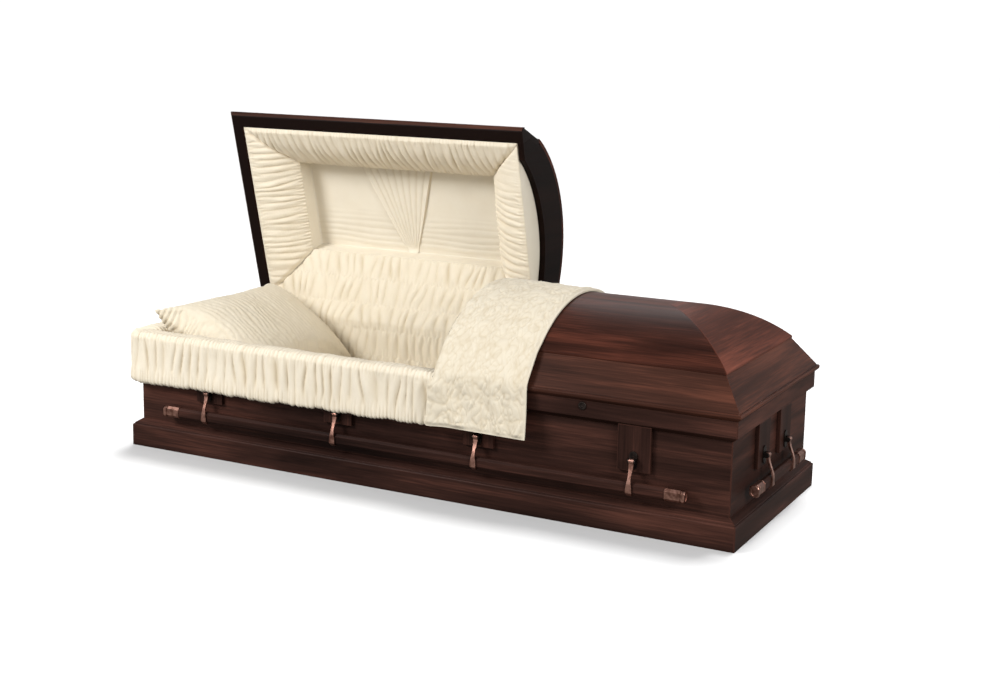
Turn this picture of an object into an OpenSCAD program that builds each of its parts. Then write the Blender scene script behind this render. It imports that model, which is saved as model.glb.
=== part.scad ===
// Wooden casket with a divided lid, open at the head half, with swing-bar handles and a cloth interior.
// Millimetres. Origin at the centre of the underside, +X towards the foot, -Y towards the front, +Z up.

/* [Overall] */
// Length over the plinth
casket_l = 2110; // [1900:5:2300]
// Width over the plinth
casket_w = 734; // [640:2:820]
// Height of the walls' top edge above the floor
rim_z = 367; // [330:1:430]
// Thickness of the wall boards
wall_t = 19; // [14:1:25]
// Thickness of the base board
base_t = 18; // [12:1:30]

/* [Plinth] */
// Height of the plinth's upright face
plinth_h = 73; // [50:1:85]
// Height of the bevel above the upright face
plinth_bevel_h = 17; // [8:1:25]
// How far the plinth stands out past the walls
plinth_ledge = 26; // [18:1:34]
// Radius of the plinth's outer top edge
plinth_edge_r = 5; // [2:0.5:7]

/* [Top band] */
// Height of the band's upright face
band_h = 48; // [36:1:60]
// How far the band stands out past the walls
band_out = 18; // [14:1:22]
// Height of the bevel under the band
band_bevel_h = 15; // [8:1:20]

/* [Arm panels] */
// Width of the raised panel behind each arm
panel_w = 101; // [80:1:120]
// How far the panel stands out past the walls
panel_t = 12; // [8:1:13]
// Height of the panel's lower edge above the floor
panel_z = 180; // [160:1:190]

/* [Lid] */
// Where the lid is divided, measured from the middle
lid_cut_x = 105; // [0:5:200]
// Gap between the two lid halves
lid_split = 5; // [4:0.5:8]
// Clearance between the closed lid and the walls
lid_seat = 0.5; // [0.3:0.1:1]
// How far the lid's rim stands out past the walls
rim_out = 29; // [26:1:34]
// Height of the lid's rim
rim_h = 21; // [16:1:26]
// Height of the sloping frame's top above the lid's underside
frame_h = 110; // [95:1:130]
// Horizontal run of the sloping frame, from the rim's nose
frame_run = 73; // [60:1:85]
// Thickness of the sloping frame
frame_t = 16; // [12:1:20]
// How far the crown overhangs the frame's top edge
crown_over = 2; // [1:0.5:4]
// Height of the crown's upright edge
crown_edge_h = 6; // [4:1:10]
// Rise of the crown's arc above its edge
crown_rise = 121; // [90:1:150]
// Thickness of the crown
crown_t = 12; // [8:1:16]
// Thickness of the board that closes each lid half at the cut
header_t = 20; // [14:1:24]
// Rise of the arch that is cut from that board's lower edge
arch_rise = 90; // [60:1:110]
// Width of the board's foot on each side of that arch
header_foot = 59; // [40:1:90]
// Angle that the head half of the lid stands open at
open_angle = 75.6; // [0:0.1:85]

/* [Lid hinges] */
// Length of each hinge
hinge_l = 80; // [60:2:120]
// Radius of the knuckles
knuckle_r = 5; // [4:0.5:6]
// Radius of the hinge pin
hinge_pin_r = 2; // [1.5:0.1:2.5]
// Thickness of the leaves
leaf_t = 2; // [1.5:0.1:2.5]
// Distance of the outer hinges from the ends of each lid half
hinge_end = 130; // [100:5:200]

/* [Handles] */
// Spacing of the arms along the sides
arm_pitch = 496; // [400:2:520]
// Spacing of the arms across the ends
end_arm_pitch = 198; // [160:2:240]
// Height of the arms' pivot above the floor
pivot_z = 213; // [205:1:218]
// Distance of the pivot out from the arm panel
pivot_out = 12; // [12:0.5:14]
// Radius of the pivot pin
pivot_r = 4; // [3:0.5:5]
// Radius of the eye at the top of the arm
eye_r = 8; // [6:0.5:8]
// Width of the arm's eye
eye_w = 15; // [12:1:18]
// Drop from the pivot to the middle of the bar
arm_drop = 76; // [70:1:80]
// Distance of the bar's middle out from the pivot
bar_off = 4; // [3:0.5:8]
// Height of the wooden bar
bar_h = 34; // [28:1:36]
// Depth of the wooden bar
bar_d = 24; // [20:1:28]
// Chamfer along the bar's edges
bar_chamfer = 7; // [4:0.5:9]
// Length of a side bar between its tips
side_bar_l = 1700; // [1620:5:1800]
// Length of an end bar between its tips
end_bar_l = 330; // [300:5:400]
// Length of the metal tip on each end of a bar
tip_l = 60; // [45:1:70]
// Thickness of the arm's strap
strap_t = 5; // [4:0.5:6]

/* [Lock] */
// Distance of the lock from the middle
lock_x = 585; // [450:5:700]
// Radius of the lock's ring
lock_r = 12; // [8:0.5:14]

/* [Bed and lining] */
// Clearance between soft pieces and what they lie against
soft_gap = 0.5; // [0.3:0.1:1]
// Thickness of the lining on the walls
lining_t = 13; // [8:1:20]
// Height of the lining's lower edge
lining_z = 60; // [40:1:90]
// Height of the mattress top
bed_z = 165; // [140:1:190]
// Height of the mattress top where it is raised at the head
bed_head_z = 300; // [230:1:320]
// Length of the raised part of the mattress
bed_raise_l = 380; // [340:5:520]
// Length of the pillow, along the casket
pillow_l = 400; // [340:5:480]
// Gap between each end of the pillow and the side of the mattress
pillow_side = 5.5; // [3:0.5:30]
// Thickness of the pillow
pillow_t = 150; // [90:1:170]

/* [Lid lining] */
// Width of the sloping border of the lid's lining
border_w = 150; // [120:1:170]
// Height of the border's inner edge above the lid's underside
border_rise = 98; // [80:1:110]
// Height of the flat panel above the lid's underside
cap_h = 165; // [150:1:170]
// Clearance of the lining's edge above the lid's underside
lining_lift = 6; // [4:1:12]

/* [Skirt and throw] */
// Thickness of the cloth skirt over the wall's edge
skirt_t = 20; // [14:1:26]
// Height of the skirt's hem
skirt_z = 228; // [225:1:250]
// Height that the skirt stands above the walls
skirt_rise = 20; // [14:1:26]
// Thickness of the throw
throw_t = 5; // [3:0.5:8]
// How far the throw reaches over the foot half of the lid
throw_l = 318; // [250:2:400]
// Height of the throw's hem
throw_z = 232; // [228:1:260]

/* [Hidden] */
$fn = 96;
wood = "#43241c";
dark_wood = "#2c1915";
copper = "#a5705c";
cloth = "#efe6d0";

half_l = casket_l / 2;
half_w = casket_w / 2;
wall_x = half_l - plinth_ledge;
wall_y = half_w - plinth_ledge;
wall_foot_z = plinth_h + plinth_bevel_h;
inner_x = wall_x - wall_t;
inner_y = wall_y - wall_t;
band_z = rim_z - band_h;
lid_z = rim_z + lid_seat;
rim_x = wall_x + rim_out;
rim_y = wall_y + rim_out;
frame_in = rim_out + wall_t;
arch_half = rim_y - frame_in - header_foot;
frame_land = frame_t + 2;
frame_step = 6;
frame_slope = (frame_h - rim_h) / (frame_run - frame_step);
frame_inner_top = frame_run + frame_land - frame_step / 2;
frame_inner_h = frame_h - (frame_inner_top - frame_in) * frame_slope - frame_land / 3;
crown_x = rim_x - frame_run + crown_over;
crown_y = rim_y - frame_run + crown_over;
crown_z = lid_z + frame_h;
arc_z = crown_z + crown_edge_h;
crown_r = (crown_y * crown_y + crown_rise * crown_rise) / (2 * crown_rise);
arc_mid_z = arc_z + crown_rise - crown_r;
hip_x = crown_x - crown_y;
head_cut = lid_cut_x - lid_split / 2;
foot_cut = lid_cut_x + lid_split / 2;
hinge_y = wall_y + band_out + knuckle_r + 1;
head_hinges = hinge_places(-wall_x, head_cut);
foot_hinges = hinge_places(foot_cut, wall_x);
arm_xs = [for (i = [-1.5:1:1.5]) i * arm_pitch];
end_arm_ys = [-end_arm_pitch / 2, end_arm_pitch / 2];
lining_x = inner_x - soft_gap;
lining_y = inner_y - soft_gap;
bed_x = lining_x - lining_t - 3;
bed_y = lining_y - lining_t - 3;
pillow_w = 2 * (bed_y - pillow_side);
bed_tilt = atan((bed_head_z - bed_z) / bed_raise_l);
skirt_out = band_out + soft_gap;
lining_edge = 4;
eps = 0.01;

function hinge_places(x0, x1) = [x0 + hinge_end, (x0 + x1) / 2, x1 - hinge_end];
function ease(t) = t <= 0 ? 0 : t >= 1 ? 1 : (1 - cos(180 * t)) / 2;
function blend(a, b, t) = a + (b - a) * ease(t);

// A moulding or board along the front side, cut to a mitre at both ends.
// The children are its section: x runs inwards from the outer face and y runs up.
module rail(length, half, depth) {
  intersection() {
    translate([-length / 2, -half, 0]) rotate([90, 0, 90]) linear_extrude(height = length) children();
    translate([0, -half, -eps]) linear_extrude(height = rim_z + 2 * frame_h)
      polygon([[-length / 2, 0], [length / 2, 0], [length / 2 - depth, depth], [depth - length / 2, depth]]);
  }
}

// Puts a front piece on one of the four sides.
module on_side(side) {
  turn = side == "front" ? 0 : side == "foot" ? 90 : side == "back" ? 180 : 270;
  rotate([0, 0, turn]) children();
}

// A rail on one side of a rectangle with the given half sizes.
module side_rail(side, hx, hy, depth) {
  along = side == "front" || side == "back";
  on_side(side) rail(along ? 2 * hx : 2 * hy, along ? hy : hx, depth) children();
}

module plinth_section() {
  r = plinth_edge_r;
  difference() {
    polygon([[0, 0], [0, plinth_h], [plinth_ledge, wall_foot_z], [plinth_ledge + wall_t, wall_foot_z],
      [plinth_ledge + wall_t, 0]]);
    difference() {
      translate([-1, plinth_h - r]) square([r + 1, 2 * r]);
      translate([r, plinth_h - r]) circle(r = r);
      translate([r, plinth_h - 2 * r]) square([r, 4 * r]);
    }
  }
}

module band_section() {
  polygon([[0, band_z], [0, rim_z], [band_out, rim_z], [band_out, band_z - band_bevel_h]]);
}

module base_board() {
  color(dark_wood) translate([0, 0, base_t / 2])
    cube([2 * inner_x, 2 * inner_y, base_t], center = true);
}

module plinth(side) {
  color(wood) side_rail(side, half_l, half_w, plinth_ledge + wall_t) plinth_section();
}

module wall(side) {
  color(wood) side_rail(side, wall_x, wall_y, wall_t)
    translate([0, wall_foot_z]) square([wall_t, rim_z - wall_foot_z]);
}

module band(side) {
  color(wood) side_rail(side, wall_x + band_out, wall_y + band_out, band_out) band_section();
}

// Where the arms stand along a side, and how far out that side's wall is.
function arm_places(side) = side == "front" || side == "back" ? arm_xs : end_arm_ys;
function wall_half(side) = side == "front" || side == "back" ? wall_y : wall_x;
function bar_length(side) = side == "front" || side == "back" ? side_bar_l : end_bar_l;

module arm_panels(side) {
  top = band_z - band_bevel_h;
  face_top = top + panel_t * band_bevel_h / band_out;
  color(wood) on_side(side) for (x = arm_places(side))
    translate([x - panel_w / 2, -wall_half(side), 0]) rotate([90, 0, 90]) linear_extrude(height = panel_w)
      polygon([[0, panel_z], [-panel_t, panel_z], [-panel_t, face_top], [0, top]]);
}

// Puts its children at the pivot of each arm of a side: y runs inwards to the wall.
module at_pivots(side) {
  on_side(side) for (x = arm_places(side))
    translate([x, -wall_half(side) - panel_t - pivot_out, pivot_z]) children();
}

// The bracket that carries one arm: a plate on the panel, two ears and the pin.
module ear_bracket() {
  ear_t = 4;
  plate_t = 3;
  side_gap = 0.5;
  ear_x = eye_w / 2 + side_gap;
  plate_h = 44;
  translate([0, pivot_out, 0]) rotate([90, 0, 0]) linear_extrude(height = plate_t) {
    square([2 * (ear_x + ear_t), plate_h - 2 * ear_x], center = true);
    for (z = [-1, 1]) translate([0, z * (plate_h / 2 - ear_x)]) circle(r = ear_x + ear_t);
  }
  for (s = [-1, 1]) translate([s * (ear_x + ear_t / 2), 0, 0]) rotate([0, 90, 0])
    linear_extrude(height = ear_t, center = true) {
      circle(r = eye_r - 1);
      translate([1 - eye_r, 0]) square([2 * eye_r - 2, pivot_out - plate_t / 2]);
    }
  rotate([0, 90, 0]) cylinder(r = pivot_r, h = 2 * (ear_x + ear_t), center = true);
}

module arm_ears(side) {
  color(copper) at_pivots(side) ear_bracket();
}

// Outline of the arm seen from its side: down from the eye, out to the bar's face and under the bar.
module arm_side_outline() {
  top = -eye_r / 2;
  bar_face = -bar_off - bar_d / 2;
  bar_top = bar_h / 2 - arm_drop;
  bar_bottom = -arm_drop - bar_h / 2;
  knee = bar_top - bar_chamfer;
  steps = 12;
  inner = [for (i = [0:steps]) [blend(3, bar_face, i / steps), top + (knee - top) * i / steps]];
  outer = [for (i = [0:steps]) [blend(3 - 1.6 * strap_t, bar_face - strap_t, i / steps),
    top + (knee - top) * i / steps]];
  hook = [[bar_face, bar_bottom + bar_chamfer], [bar_face + bar_chamfer, bar_bottom],
    [bar_face + bar_d / 2, bar_bottom]];
  under = [[bar_face + bar_d / 2, bar_bottom - 0.6 * strap_t], [bar_face + bar_chamfer - 1, bar_bottom - strap_t],
    [bar_face - strap_t, bar_bottom + bar_chamfer - 2]];
  back_up = [for (i = [steps:-1:0]) outer[i]];
  polygon(concat(inner, hook, under, back_up));
}

// Outline of the arm seen from the front: full at the eye, narrow at the waist, broad at the bar.
module arm_front_outline() {
  low = -arm_drop - bar_h / 2 - strap_t - 1;
  waist = 4.6;
  broad = 9.5;
  waist_at = 0.42;
  steps = 24;
  right = [for (i = [0:steps]) [arm_half(i / steps, waist, broad, waist_at), low * i / steps]];
  left = [for (i = [steps:-1:0]) [-right[i][0], right[i][1]]];
  polygon(concat(right, left));
}
function arm_half(t, waist, broad, waist_at) = t < waist_at
  ? blend(eye_w / 2, waist, t / waist_at)
  : t < 0.85 ? blend(waist, broad, (t - waist_at) / (0.85 - waist_at)) : blend(broad, 0.7 * broad, (t - 0.85) / 0.15);

module arm() {
  running = 0.05;
  difference() {
    union() {
      rotate([0, 90, 0]) cylinder(r = eye_r, h = eye_w, center = true);
      intersection() {
        rotate([90, 0, 90]) linear_extrude(height = 2 * eye_w, center = true) arm_side_outline();
        rotate([90, 0, 0]) linear_extrude(height = 4 * bar_d, center = true) arm_front_outline();
      }
    }
    rotate([0, 90, 0]) cylinder(r = pivot_r + running, h = 2 * eye_w, center = true);
  }
}

module arms(side) {
  color(copper) at_pivots(side) arm();
}

// Section of the wooden bar, with its edges chamfered; grow makes it larger all round.
module bar_section(grow) {
  h = bar_h / 2 + grow;
  d = bar_d / 2 + grow;
  c = bar_chamfer;
  polygon([[-d, c - h], [c - d, -h], [d - c, -h], [d, c - h], [d, h - c], [d - c, h], [c - d, h], [-d, h - c]]);
}

module at_bar(side) {
  on_side(side) translate([0, -wall_half(side) - panel_t - pivot_out - bar_off, pivot_z - arm_drop]) children();
}

module bar(side) {
  color(wood) at_bar(side) rotate([90, 0, 90])
    linear_extrude(height = bar_length(side), center = true) bar_section(0);
}

// The metal cap on one end of a bar: a sleeve, a groove and a round lip with a sunk face.
module bar_tip() {
  sleeve = tip_l - 14;
  lip_r = bar_h / 2 + 1;
  rotate([90, 0, 90]) {
    linear_extrude(height = sleeve) bar_section(0.8);
    linear_extrude(height = 3) bar_section(1.6);
    translate([0, 0, sleeve]) linear_extrude(height = 3) bar_section(-1);
    translate([0, 0, sleeve + 3]) linear_extrude(height = 2) bar_section(1.2);
  }
  difference() {
    translate([sleeve + 5, 0, 0]) rotate([0, 90, 0]) tip_lip(lip_r);
    translate([tip_l - 2, 0, 0]) rotate([90, 0, 90]) linear_extrude(height = 3) bar_section(-4);
  }
}

// The round lip at the end of a tip, cut flat to the bar's depth.
module tip_lip(lip_r) {
  intersection() {
    rotate_extrude() polygon([[0, 0], [lip_r - 1, 0], [lip_r + 1, 3], [lip_r, 7], [lip_r - 2, 9], [0, 9]]);
    cube([2 * lip_r + 4, bar_d + 4, 40], center = true);
  }
}

module bar_tips(side) {
  color(copper) at_bar(side) for (m = [0, 1]) mirror([m, 0, 0]) translate([bar_length(side) / 2, 0, 0]) bar_tip();
}

// Section of the lid's frame: a rim with a rounded nose, a small step and the sloping board.
module frame_section() {
  nose = rim_out - band_out;
  translate([0, lid_z]) {
    polygon([[frame_in, 0], [nose, 0], [2, nose - 3], [0, nose], [0, rim_h - 4], [1, rim_h - 1.5], [3, rim_h],
      [frame_step, rim_h], [frame_step + 1, rim_h - 1.5], [frame_step + 2, rim_h + 1.5 * frame_slope],
      [frame_run, frame_h], [frame_run + frame_land, frame_h], [frame_inner_top, frame_h - frame_step],
      [frame_in, frame_inner_h]]);
  }
}

// The lid's frame on three sides of one half: the front, the back and its own end.
module lid_frame(end_side, x0, x1, hinges) {
  difference() {
    intersection() {
      union() for (side = ["front", "back", end_side])
        side_rail(side, rim_x, rim_y, frame_run + frame_land) frame_section();
      translate([x0, -rim_y - 1, lid_z - 1]) cube([x1 - x0, 2 * rim_y + 2, frame_h + 2]);
    }
    for (x = hinges) hinge_mortise(x);
  }
}

// The crown's solid, or with an inset the space inside it, from the cut to the end at +X or -X.
module crown_body(dir, cut, inset) {
  grow = inset > 0 ? eps : 0;
  half = crown_y - (inset > 0 ? crown_t / 2 : 0);
  arc_r = crown_r - inset;
  intersection() {
    translate([dir > 0 ? cut - grow : -crown_x, 0, -grow]) rotate([90, 0, 90])
      linear_extrude(height = dir > 0 ? crown_x - cut + grow : cut + crown_x + grow) intersection() {
        translate([0, arc_mid_z]) circle(r = arc_r, $fn = 180);
        translate([-half, crown_z - grow]) square([2 * half, 2 * crown_rise]);
      }
    translate([dir * hip_x, 0, -grow]) rotate([90, 0, 0])
      linear_extrude(height = 2 * crown_y + 2, center = true) intersection() {
        union() {
          translate([0, arc_mid_z]) circle(r = arc_r, $fn = 180);
          translate([dir > 0 ? -crown_x * 2 : 0, arc_mid_z]) square([crown_x * 2, arc_r]);
        }
        translate([dir > 0 ? -crown_x * 2 : -half, crown_z - grow]) square([crown_x * 2 + half, 2 * crown_rise]);
      }
  }
}

module crown_shell(dir, cut) {
  difference() {
    crown_body(dir, cut, 0);
    crown_body(dir, cut, crown_t);
  }
}

// The wedge of space over the hipped end, between its two mitres.
module hip_wedge(dir) {
  translate([0, 0, crown_z - 1]) linear_extrude(height = crown_rise + 20)
    polygon([[dir * hip_x, 0], [dir * (crown_x + 5), crown_y + 5], [dir * (crown_x + 5), -crown_y - 5]]);
}

// Half the outline of the space inside a closed lid half, from the rim to the middle, drawn in by a clearance.
function hollow_half(clear) = let (
    r = crown_r - crown_t - max(clear, 0.3),
    top_y = rim_y - frame_run - frame_land - clear,
    steps = 16)
  concat(
    [[rim_y - frame_in - clear, lid_z],
      [rim_y - frame_in - clear, lid_z + frame_inner_h - clear],
      [rim_y - frame_inner_top - clear, crown_z - frame_step - clear],
      [top_y, crown_z - clear]],
    [for (i = [steps:-1:0]) let (a = asin(top_y / r) * i / steps) [r * sin(a), arc_mid_z + r * cos(a)]]);

module lid_hollow_section(clear) {
  half = hollow_half(clear);
  polygon(concat(half, [for (i = [len(half) - 2:-1:0]) [-half[i][0], half[i][1]]]));
}

// The same space seen from the side: the hollow's outline at the end, and open towards the cut.
module lid_hollow_side(dir, clear) {
  half = hollow_half(clear);
  shift = rim_x - rim_y;
  reach = 2 * rim_x;
  polygon(concat([for (p = half) [dir * (p[0] + shift), p[1]]],
    [[-dir * reach, half[len(half) - 1][1]], [-dir * reach, lid_z]]));
}

// The board that closes a lid half at the cut, with an arch in its lower edge.
module lid_header(x0) {
  arch_r = (arch_half * arch_half + arch_rise * arch_rise) / (2 * arch_rise);
  translate([x0, 0, 0]) rotate([90, 0, 90]) linear_extrude(height = header_t) difference() {
    lid_hollow_section(0);
    translate([0, lid_z + arch_rise - arch_r]) circle(r = arch_r, $fn = 180);
  }
}

// Turns a closed lid piece to the angle that the head half stands open at.
module opened() {
  translate([0, hinge_y, lid_z]) rotate([-open_angle, 0, 0]) translate([0, -hinge_y, -lid_z]) children();
}

module head_lid_frame() { color(dark_wood) opened() lid_frame("head", -rim_x - 1, head_cut, head_hinges); }
module foot_lid_frame() { color(wood) lid_frame("foot", foot_cut, rim_x + 1, foot_hinges); }

module head_lid_crown() {
  color(wood) opened() difference() {
    crown_shell(-1, head_cut);
    hip_wedge(-1);
  }
}

module foot_lid_crown() {
  color(wood) difference() {
    crown_shell(1, foot_cut);
    hip_wedge(1);
  }
}

module head_lid_hip() {
  color(wood) opened() intersection() {
    crown_shell(-1, head_cut);
    hip_wedge(-1);
  }
}

module foot_lid_hip() {
  color(wood) intersection() {
    crown_shell(1, foot_cut);
    hip_wedge(1);
  }
}

module head_lid_header() { color(dark_wood) opened() lid_header(head_cut - header_t); }
module foot_lid_header() { color(dark_wood) lid_header(foot_cut); }

// The room in the lid's rim for one hinge: its knuckles and the leaf let into the underside.
module hinge_mortise(x) {
  room = 1.2;
  translate([x, hinge_y, lid_z]) {
    rotate([0, 90, 0]) cylinder(r = knuckle_r + room, h = hinge_l + 2 * room, center = true);
    translate([-hinge_l / 2 - room, -leaf_w() - room, -1])
      cube([hinge_l + 2 * room, leaf_w() + 2 * room, leaf_t + 1 + lid_seat]);
  }
}
function leaf_w() = 30;

// The part of each hinge that is fixed to the casket: a leaf, two knuckles and the pin.
module hinges_body() {
  outer = hinge_l * 0.3;
  color("#8a7b6a") for (x = concat(head_hinges, foot_hinges)) translate([x, hinge_y, lid_z]) {
    translate([-hinge_l / 2, -knuckle_r - 1, -leaf_w() - lid_seat]) cube([hinge_l, leaf_t, leaf_w() - 4]);
    for (s = [-1, 1]) translate([s * (hinge_l - outer) / 2, 0, 0]) {
      rotate([0, 90, 0]) cylinder(r = knuckle_r, h = outer, center = true);
      translate([-outer / 2, -knuckle_r - 1, -knuckle_r - 2]) cube([outer, knuckle_r + 1, knuckle_r + 1]);
    }
    rotate([0, 90, 0]) cylinder(r = hinge_pin_r, h = hinge_l, center = true);
  }
}

// The part of each hinge that turns with the lid: a leaf under the rim and the middle knuckle.
module lid_hinges(places) {
  running = 0.05;
  middle = hinge_l * 0.4 - 1;
  color("#8a7b6a") for (x = places) translate([x, hinge_y, lid_z]) difference() {
    union() {
      rotate([0, 90, 0]) cylinder(r = knuckle_r, h = middle, center = true);
      translate([-hinge_l / 2, -leaf_w(), lid_seat]) cube([hinge_l, leaf_w() - knuckle_r - 1, leaf_t]);
      translate([-middle / 2, -knuckle_r - 2, lid_seat]) cube([middle, knuckle_r + 2, leaf_t]);
    }
    rotate([0, 90, 0]) cylinder(r = hinge_pin_r + running, h = hinge_l, center = true);
  }
}

module hinges_head_lid() { opened() lid_hinges(head_hinges); }
module hinges_foot_lid() { lid_hinges(foot_hinges); }

// The round lock plate on the front band: a ring, a sunk face and a hexagonal key hole.
module lock() {
  ring_t = 3;
  color("#3a2c26") translate([lock_x, -wall_y - band_out, rim_z - band_h / 3]) rotate([90, 0, 0]) difference() {
    rotate_extrude() polygon([[0, 0], [lock_r, 0], [lock_r, ring_t - 1], [lock_r - 1, ring_t], [lock_r - 4, ring_t],
      [lock_r - 5, 1.5], [0, 1.5]]);
    translate([0, 0, 0.5]) linear_extrude(height = ring_t) circle(r = 3.5, $fn = 6);
  }
}

module mattress() {
  low = base_t + soft_gap;
  color(cloth) rotate([90, 0, 0]) linear_extrude(height = 2 * bed_y, center = true)
    polygon([[-bed_x, low], [bed_x, low], [bed_x, bed_z], [bed_raise_l - bed_x, bed_z], [-bed_x, bed_head_z]]);
}

// The pillow lies on the raised part of the mattress: a box with its edges drawn in.
module pillow() {
  r = pillow_t / 2;
  flat = pillow_t * 0.35;
  color(cloth) translate([-bed_x, 0, bed_head_z + soft_gap]) rotate([0, bed_tilt, 0])
    translate([pillow_l / 2 + 6, 0, pillow_t / 2]) hull() {
      cube([pillow_l - pillow_t, pillow_w - pillow_t, pillow_t], center = true);
      cube([pillow_l - 16, pillow_w - 16, flat / 2], center = true);
    }
}

// The lining round the inside of the walls.
module body_lining() {
  color(cloth) translate([0, 0, lining_z]) linear_extrude(height = rim_z - lining_z - 5) difference() {
    square([2 * lining_x, 2 * lining_y], center = true);
    square([2 * (lining_x - lining_t), 2 * (lining_y - lining_t)], center = true);
  }
}

// The space for a lid's lining: the lid's hollow without its header, drawn in a little.
module lining_block(dir, cut) {
  clear = soft_gap;
  end_x = rim_x - frame_in - clear;
  start = cut + dir * (header_t + clear);
  intersection() {
    translate([min(start, dir * end_x), 0, 0]) rotate([90, 0, 90])
      linear_extrude(height = abs(dir * end_x - start)) lid_hollow_section(clear);
    rotate([90, 0, 0]) linear_extrude(height = 2 * rim_y, center = true) lid_hollow_side(dir, clear);
    translate([-rim_x, -rim_y, lid_z + lining_lift]) cube([2 * rim_x, 2 * rim_y, cap_h + 8 - lining_lift]);
  }
}

// The opening of the lining: a border that slopes in, then a sunk flat panel.
module lining_opening(dir, cut, back_border) {
  x_out = dir > 0 ? [cut + header_t + lining_edge, rim_x - frame_in - lining_edge]
    : [frame_in + lining_edge - rim_x, cut - header_t - lining_edge];
  y_out = [frame_in + lining_edge - rim_y, rim_y - frame_in - lining_edge];
  far = back_border ? 0 : 2 * border_w;
  low = lid_z + lining_lift - 1;
  high = lid_z + border_rise;
  intersection() {
    rotate([90, 0, 0]) linear_extrude(height = 3 * rim_y, center = true)
      polygon([[x_out[0], low], [x_out[1], low], [x_out[1] - border_w, high], [x_out[0] + border_w, high]]);
    translate([-2 * rim_x, 0, 0]) rotate([90, 0, 90]) linear_extrude(height = 4 * rim_x)
      polygon([[y_out[0], low], [y_out[1] + far, low], [y_out[1] - border_w + far, high], [y_out[0] + border_w, high]]);
  }
  translate([x_out[0] + border_w, y_out[0] + border_w, high - 1])
    cube([x_out[1] - x_out[0] - 2 * border_w, y_out[1] - y_out[0] - 2 * border_w + far, cap_h - border_rise + 1]);
}

module head_lid_lining() {
  color(cloth) opened() difference() {
    lining_block(-1, head_cut);
    lining_opening(-1, head_cut, false);
  }
}

module foot_lid_lining() {
  color(cloth) difference() {
    lining_block(1, foot_cut);
    lining_opening(1, foot_cut, true);
  }
}

// Where a point of the closed lid lies with the lid open, as [y, z]: v from the hinge, w above the rim.
function opened_at(v, w) = [hinge_y - v * cos(open_angle) + w * sin(open_angle),
  lid_z + v * sin(open_angle) + w * cos(open_angle)];

// The loose lining over the hinge side, from the wall's lining up into the open lid.
// In the lid it narrows between the sloping borders at its two ends.
module apron() {
  wall_face = lining_y - lining_t - 1;
  sheet = 8;
  rail_v = hinge_y - rim_y + frame_in;
  top_v = rail_v + lining_edge + border_w;
  x0 = -bed_x;
  x1 = head_cut - header_t - lining_edge - soft_gap;
  high = lid_z + border_rise;
  color(cloth) intersection() {
    translate([x0, 0, 0]) rotate([90, 0, 90]) linear_extrude(height = x1 - x0)
      polygon([[wall_face, rim_z - 40], [wall_face, rim_z + 2], opened_at(rail_v + 2, -3),
        opened_at(rail_v + sheet, 3), opened_at(top_v, border_rise - 1), opened_at(top_v, border_rise - 1 - sheet),
        opened_at(rail_v + 2 * sheet, -sheet), [wall_face - sheet, rim_z - 4], [wall_face - sheet, rim_z - 40]]);
    opened() rotate([90, 0, 0]) linear_extrude(height = 4 * rim_y, center = true)
      polygon([[x0, 0], [x1, 0], [x1, lid_z + lining_lift - 1], [x1 - border_w, high], [x0 + border_w, high],
        [x0, lid_z + lining_lift - 1]]);
  }
}

// Section of the skirt: over the wall's top edge and down outside the band; x runs out from the inner face.
module skirt_section() {
  inner = wall_t + skirt_out;
  outer = inner + skirt_t;
  low = skirt_z;
  top = rim_z + skirt_rise;
  seat = rim_z + soft_gap;
  polygon([[2, seat], [2, top - 6], [10, top], [outer - 8, top], [outer, top - 10], [outer, low], [inner, low],
    [inner, seat]]);
}

module skirt_front() {
  length = inner_x + head_cut - 3;
  color(cloth) translate([-inner_x, -inner_y, 0]) rotate([90, 0, 90]) linear_extrude(height = length)
    mirror([1, 0]) skirt_section();
}

module skirt_corner() {
  reach = wall_t + skirt_out;
  color(cloth) translate([-inner_x, -inner_y, 0]) difference() {
    rotate([0, 0, 180]) rotate_extrude(angle = 90) skirt_section();
    translate([-reach, -reach, 0]) cube([reach, reach, rim_z + soft_gap]);
  }
}

module skirt_head() {
  back = inner_y - 8;
  color(cloth) translate([-inner_x, -inner_y, 0]) rotate([90, 0, 180])
    linear_extrude(height = inner_y + back) skirt_section();
}

// The outside of a closed lid half, lifted off its surface, as points from the middle to the rim.
function lid_outline(lift) = concat(
  [for (i = [0:12]) let (a = asin(crown_y / crown_r) * i / 12)
    [(crown_r + lift) * sin(a), arc_mid_z + (crown_r + lift) * cos(a)]],
  [[crown_y + 1.1 * lift, crown_z + crown_edge_h / 2],
    [crown_y + 4 + 0.8 * lift, crown_z - 4 + 0.6 * lift],
    [rim_y - frame_step + 0.8 * lift, lid_z + rim_h + 3 + 0.6 * lift],
    [rim_y + lift, lid_z + rim_h - 3]]);

// The throw over the foot lid: from its front rim over the crown to the frame behind.
module throw() {
  upper = lid_outline(throw_t + 1);
  lower = lid_outline(soft_gap);
  front = len(upper) - 1;
  back = len(upper) - 3;
  color(cloth) translate([foot_cut, 0, 0]) rotate([90, 0, 90]) linear_extrude(height = throw_l)
    polygon(concat(
      [for (i = [front:-1:0]) [-upper[i][0], upper[i][1]]],
      [for (i = [1:back]) upper[i]],
      [for (i = [back:-1:0]) lower[i]],
      [for (i = [1:front]) [-lower[i][0], lower[i][1]]]));
}

module throw_flap() {
  face = rim_y + soft_gap;
  color(cloth) translate([foot_cut, -face - throw_t - 2, throw_z]) cube([throw_l, throw_t + 2, lid_z + rim_h - 3 - throw_z]);
}

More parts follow.
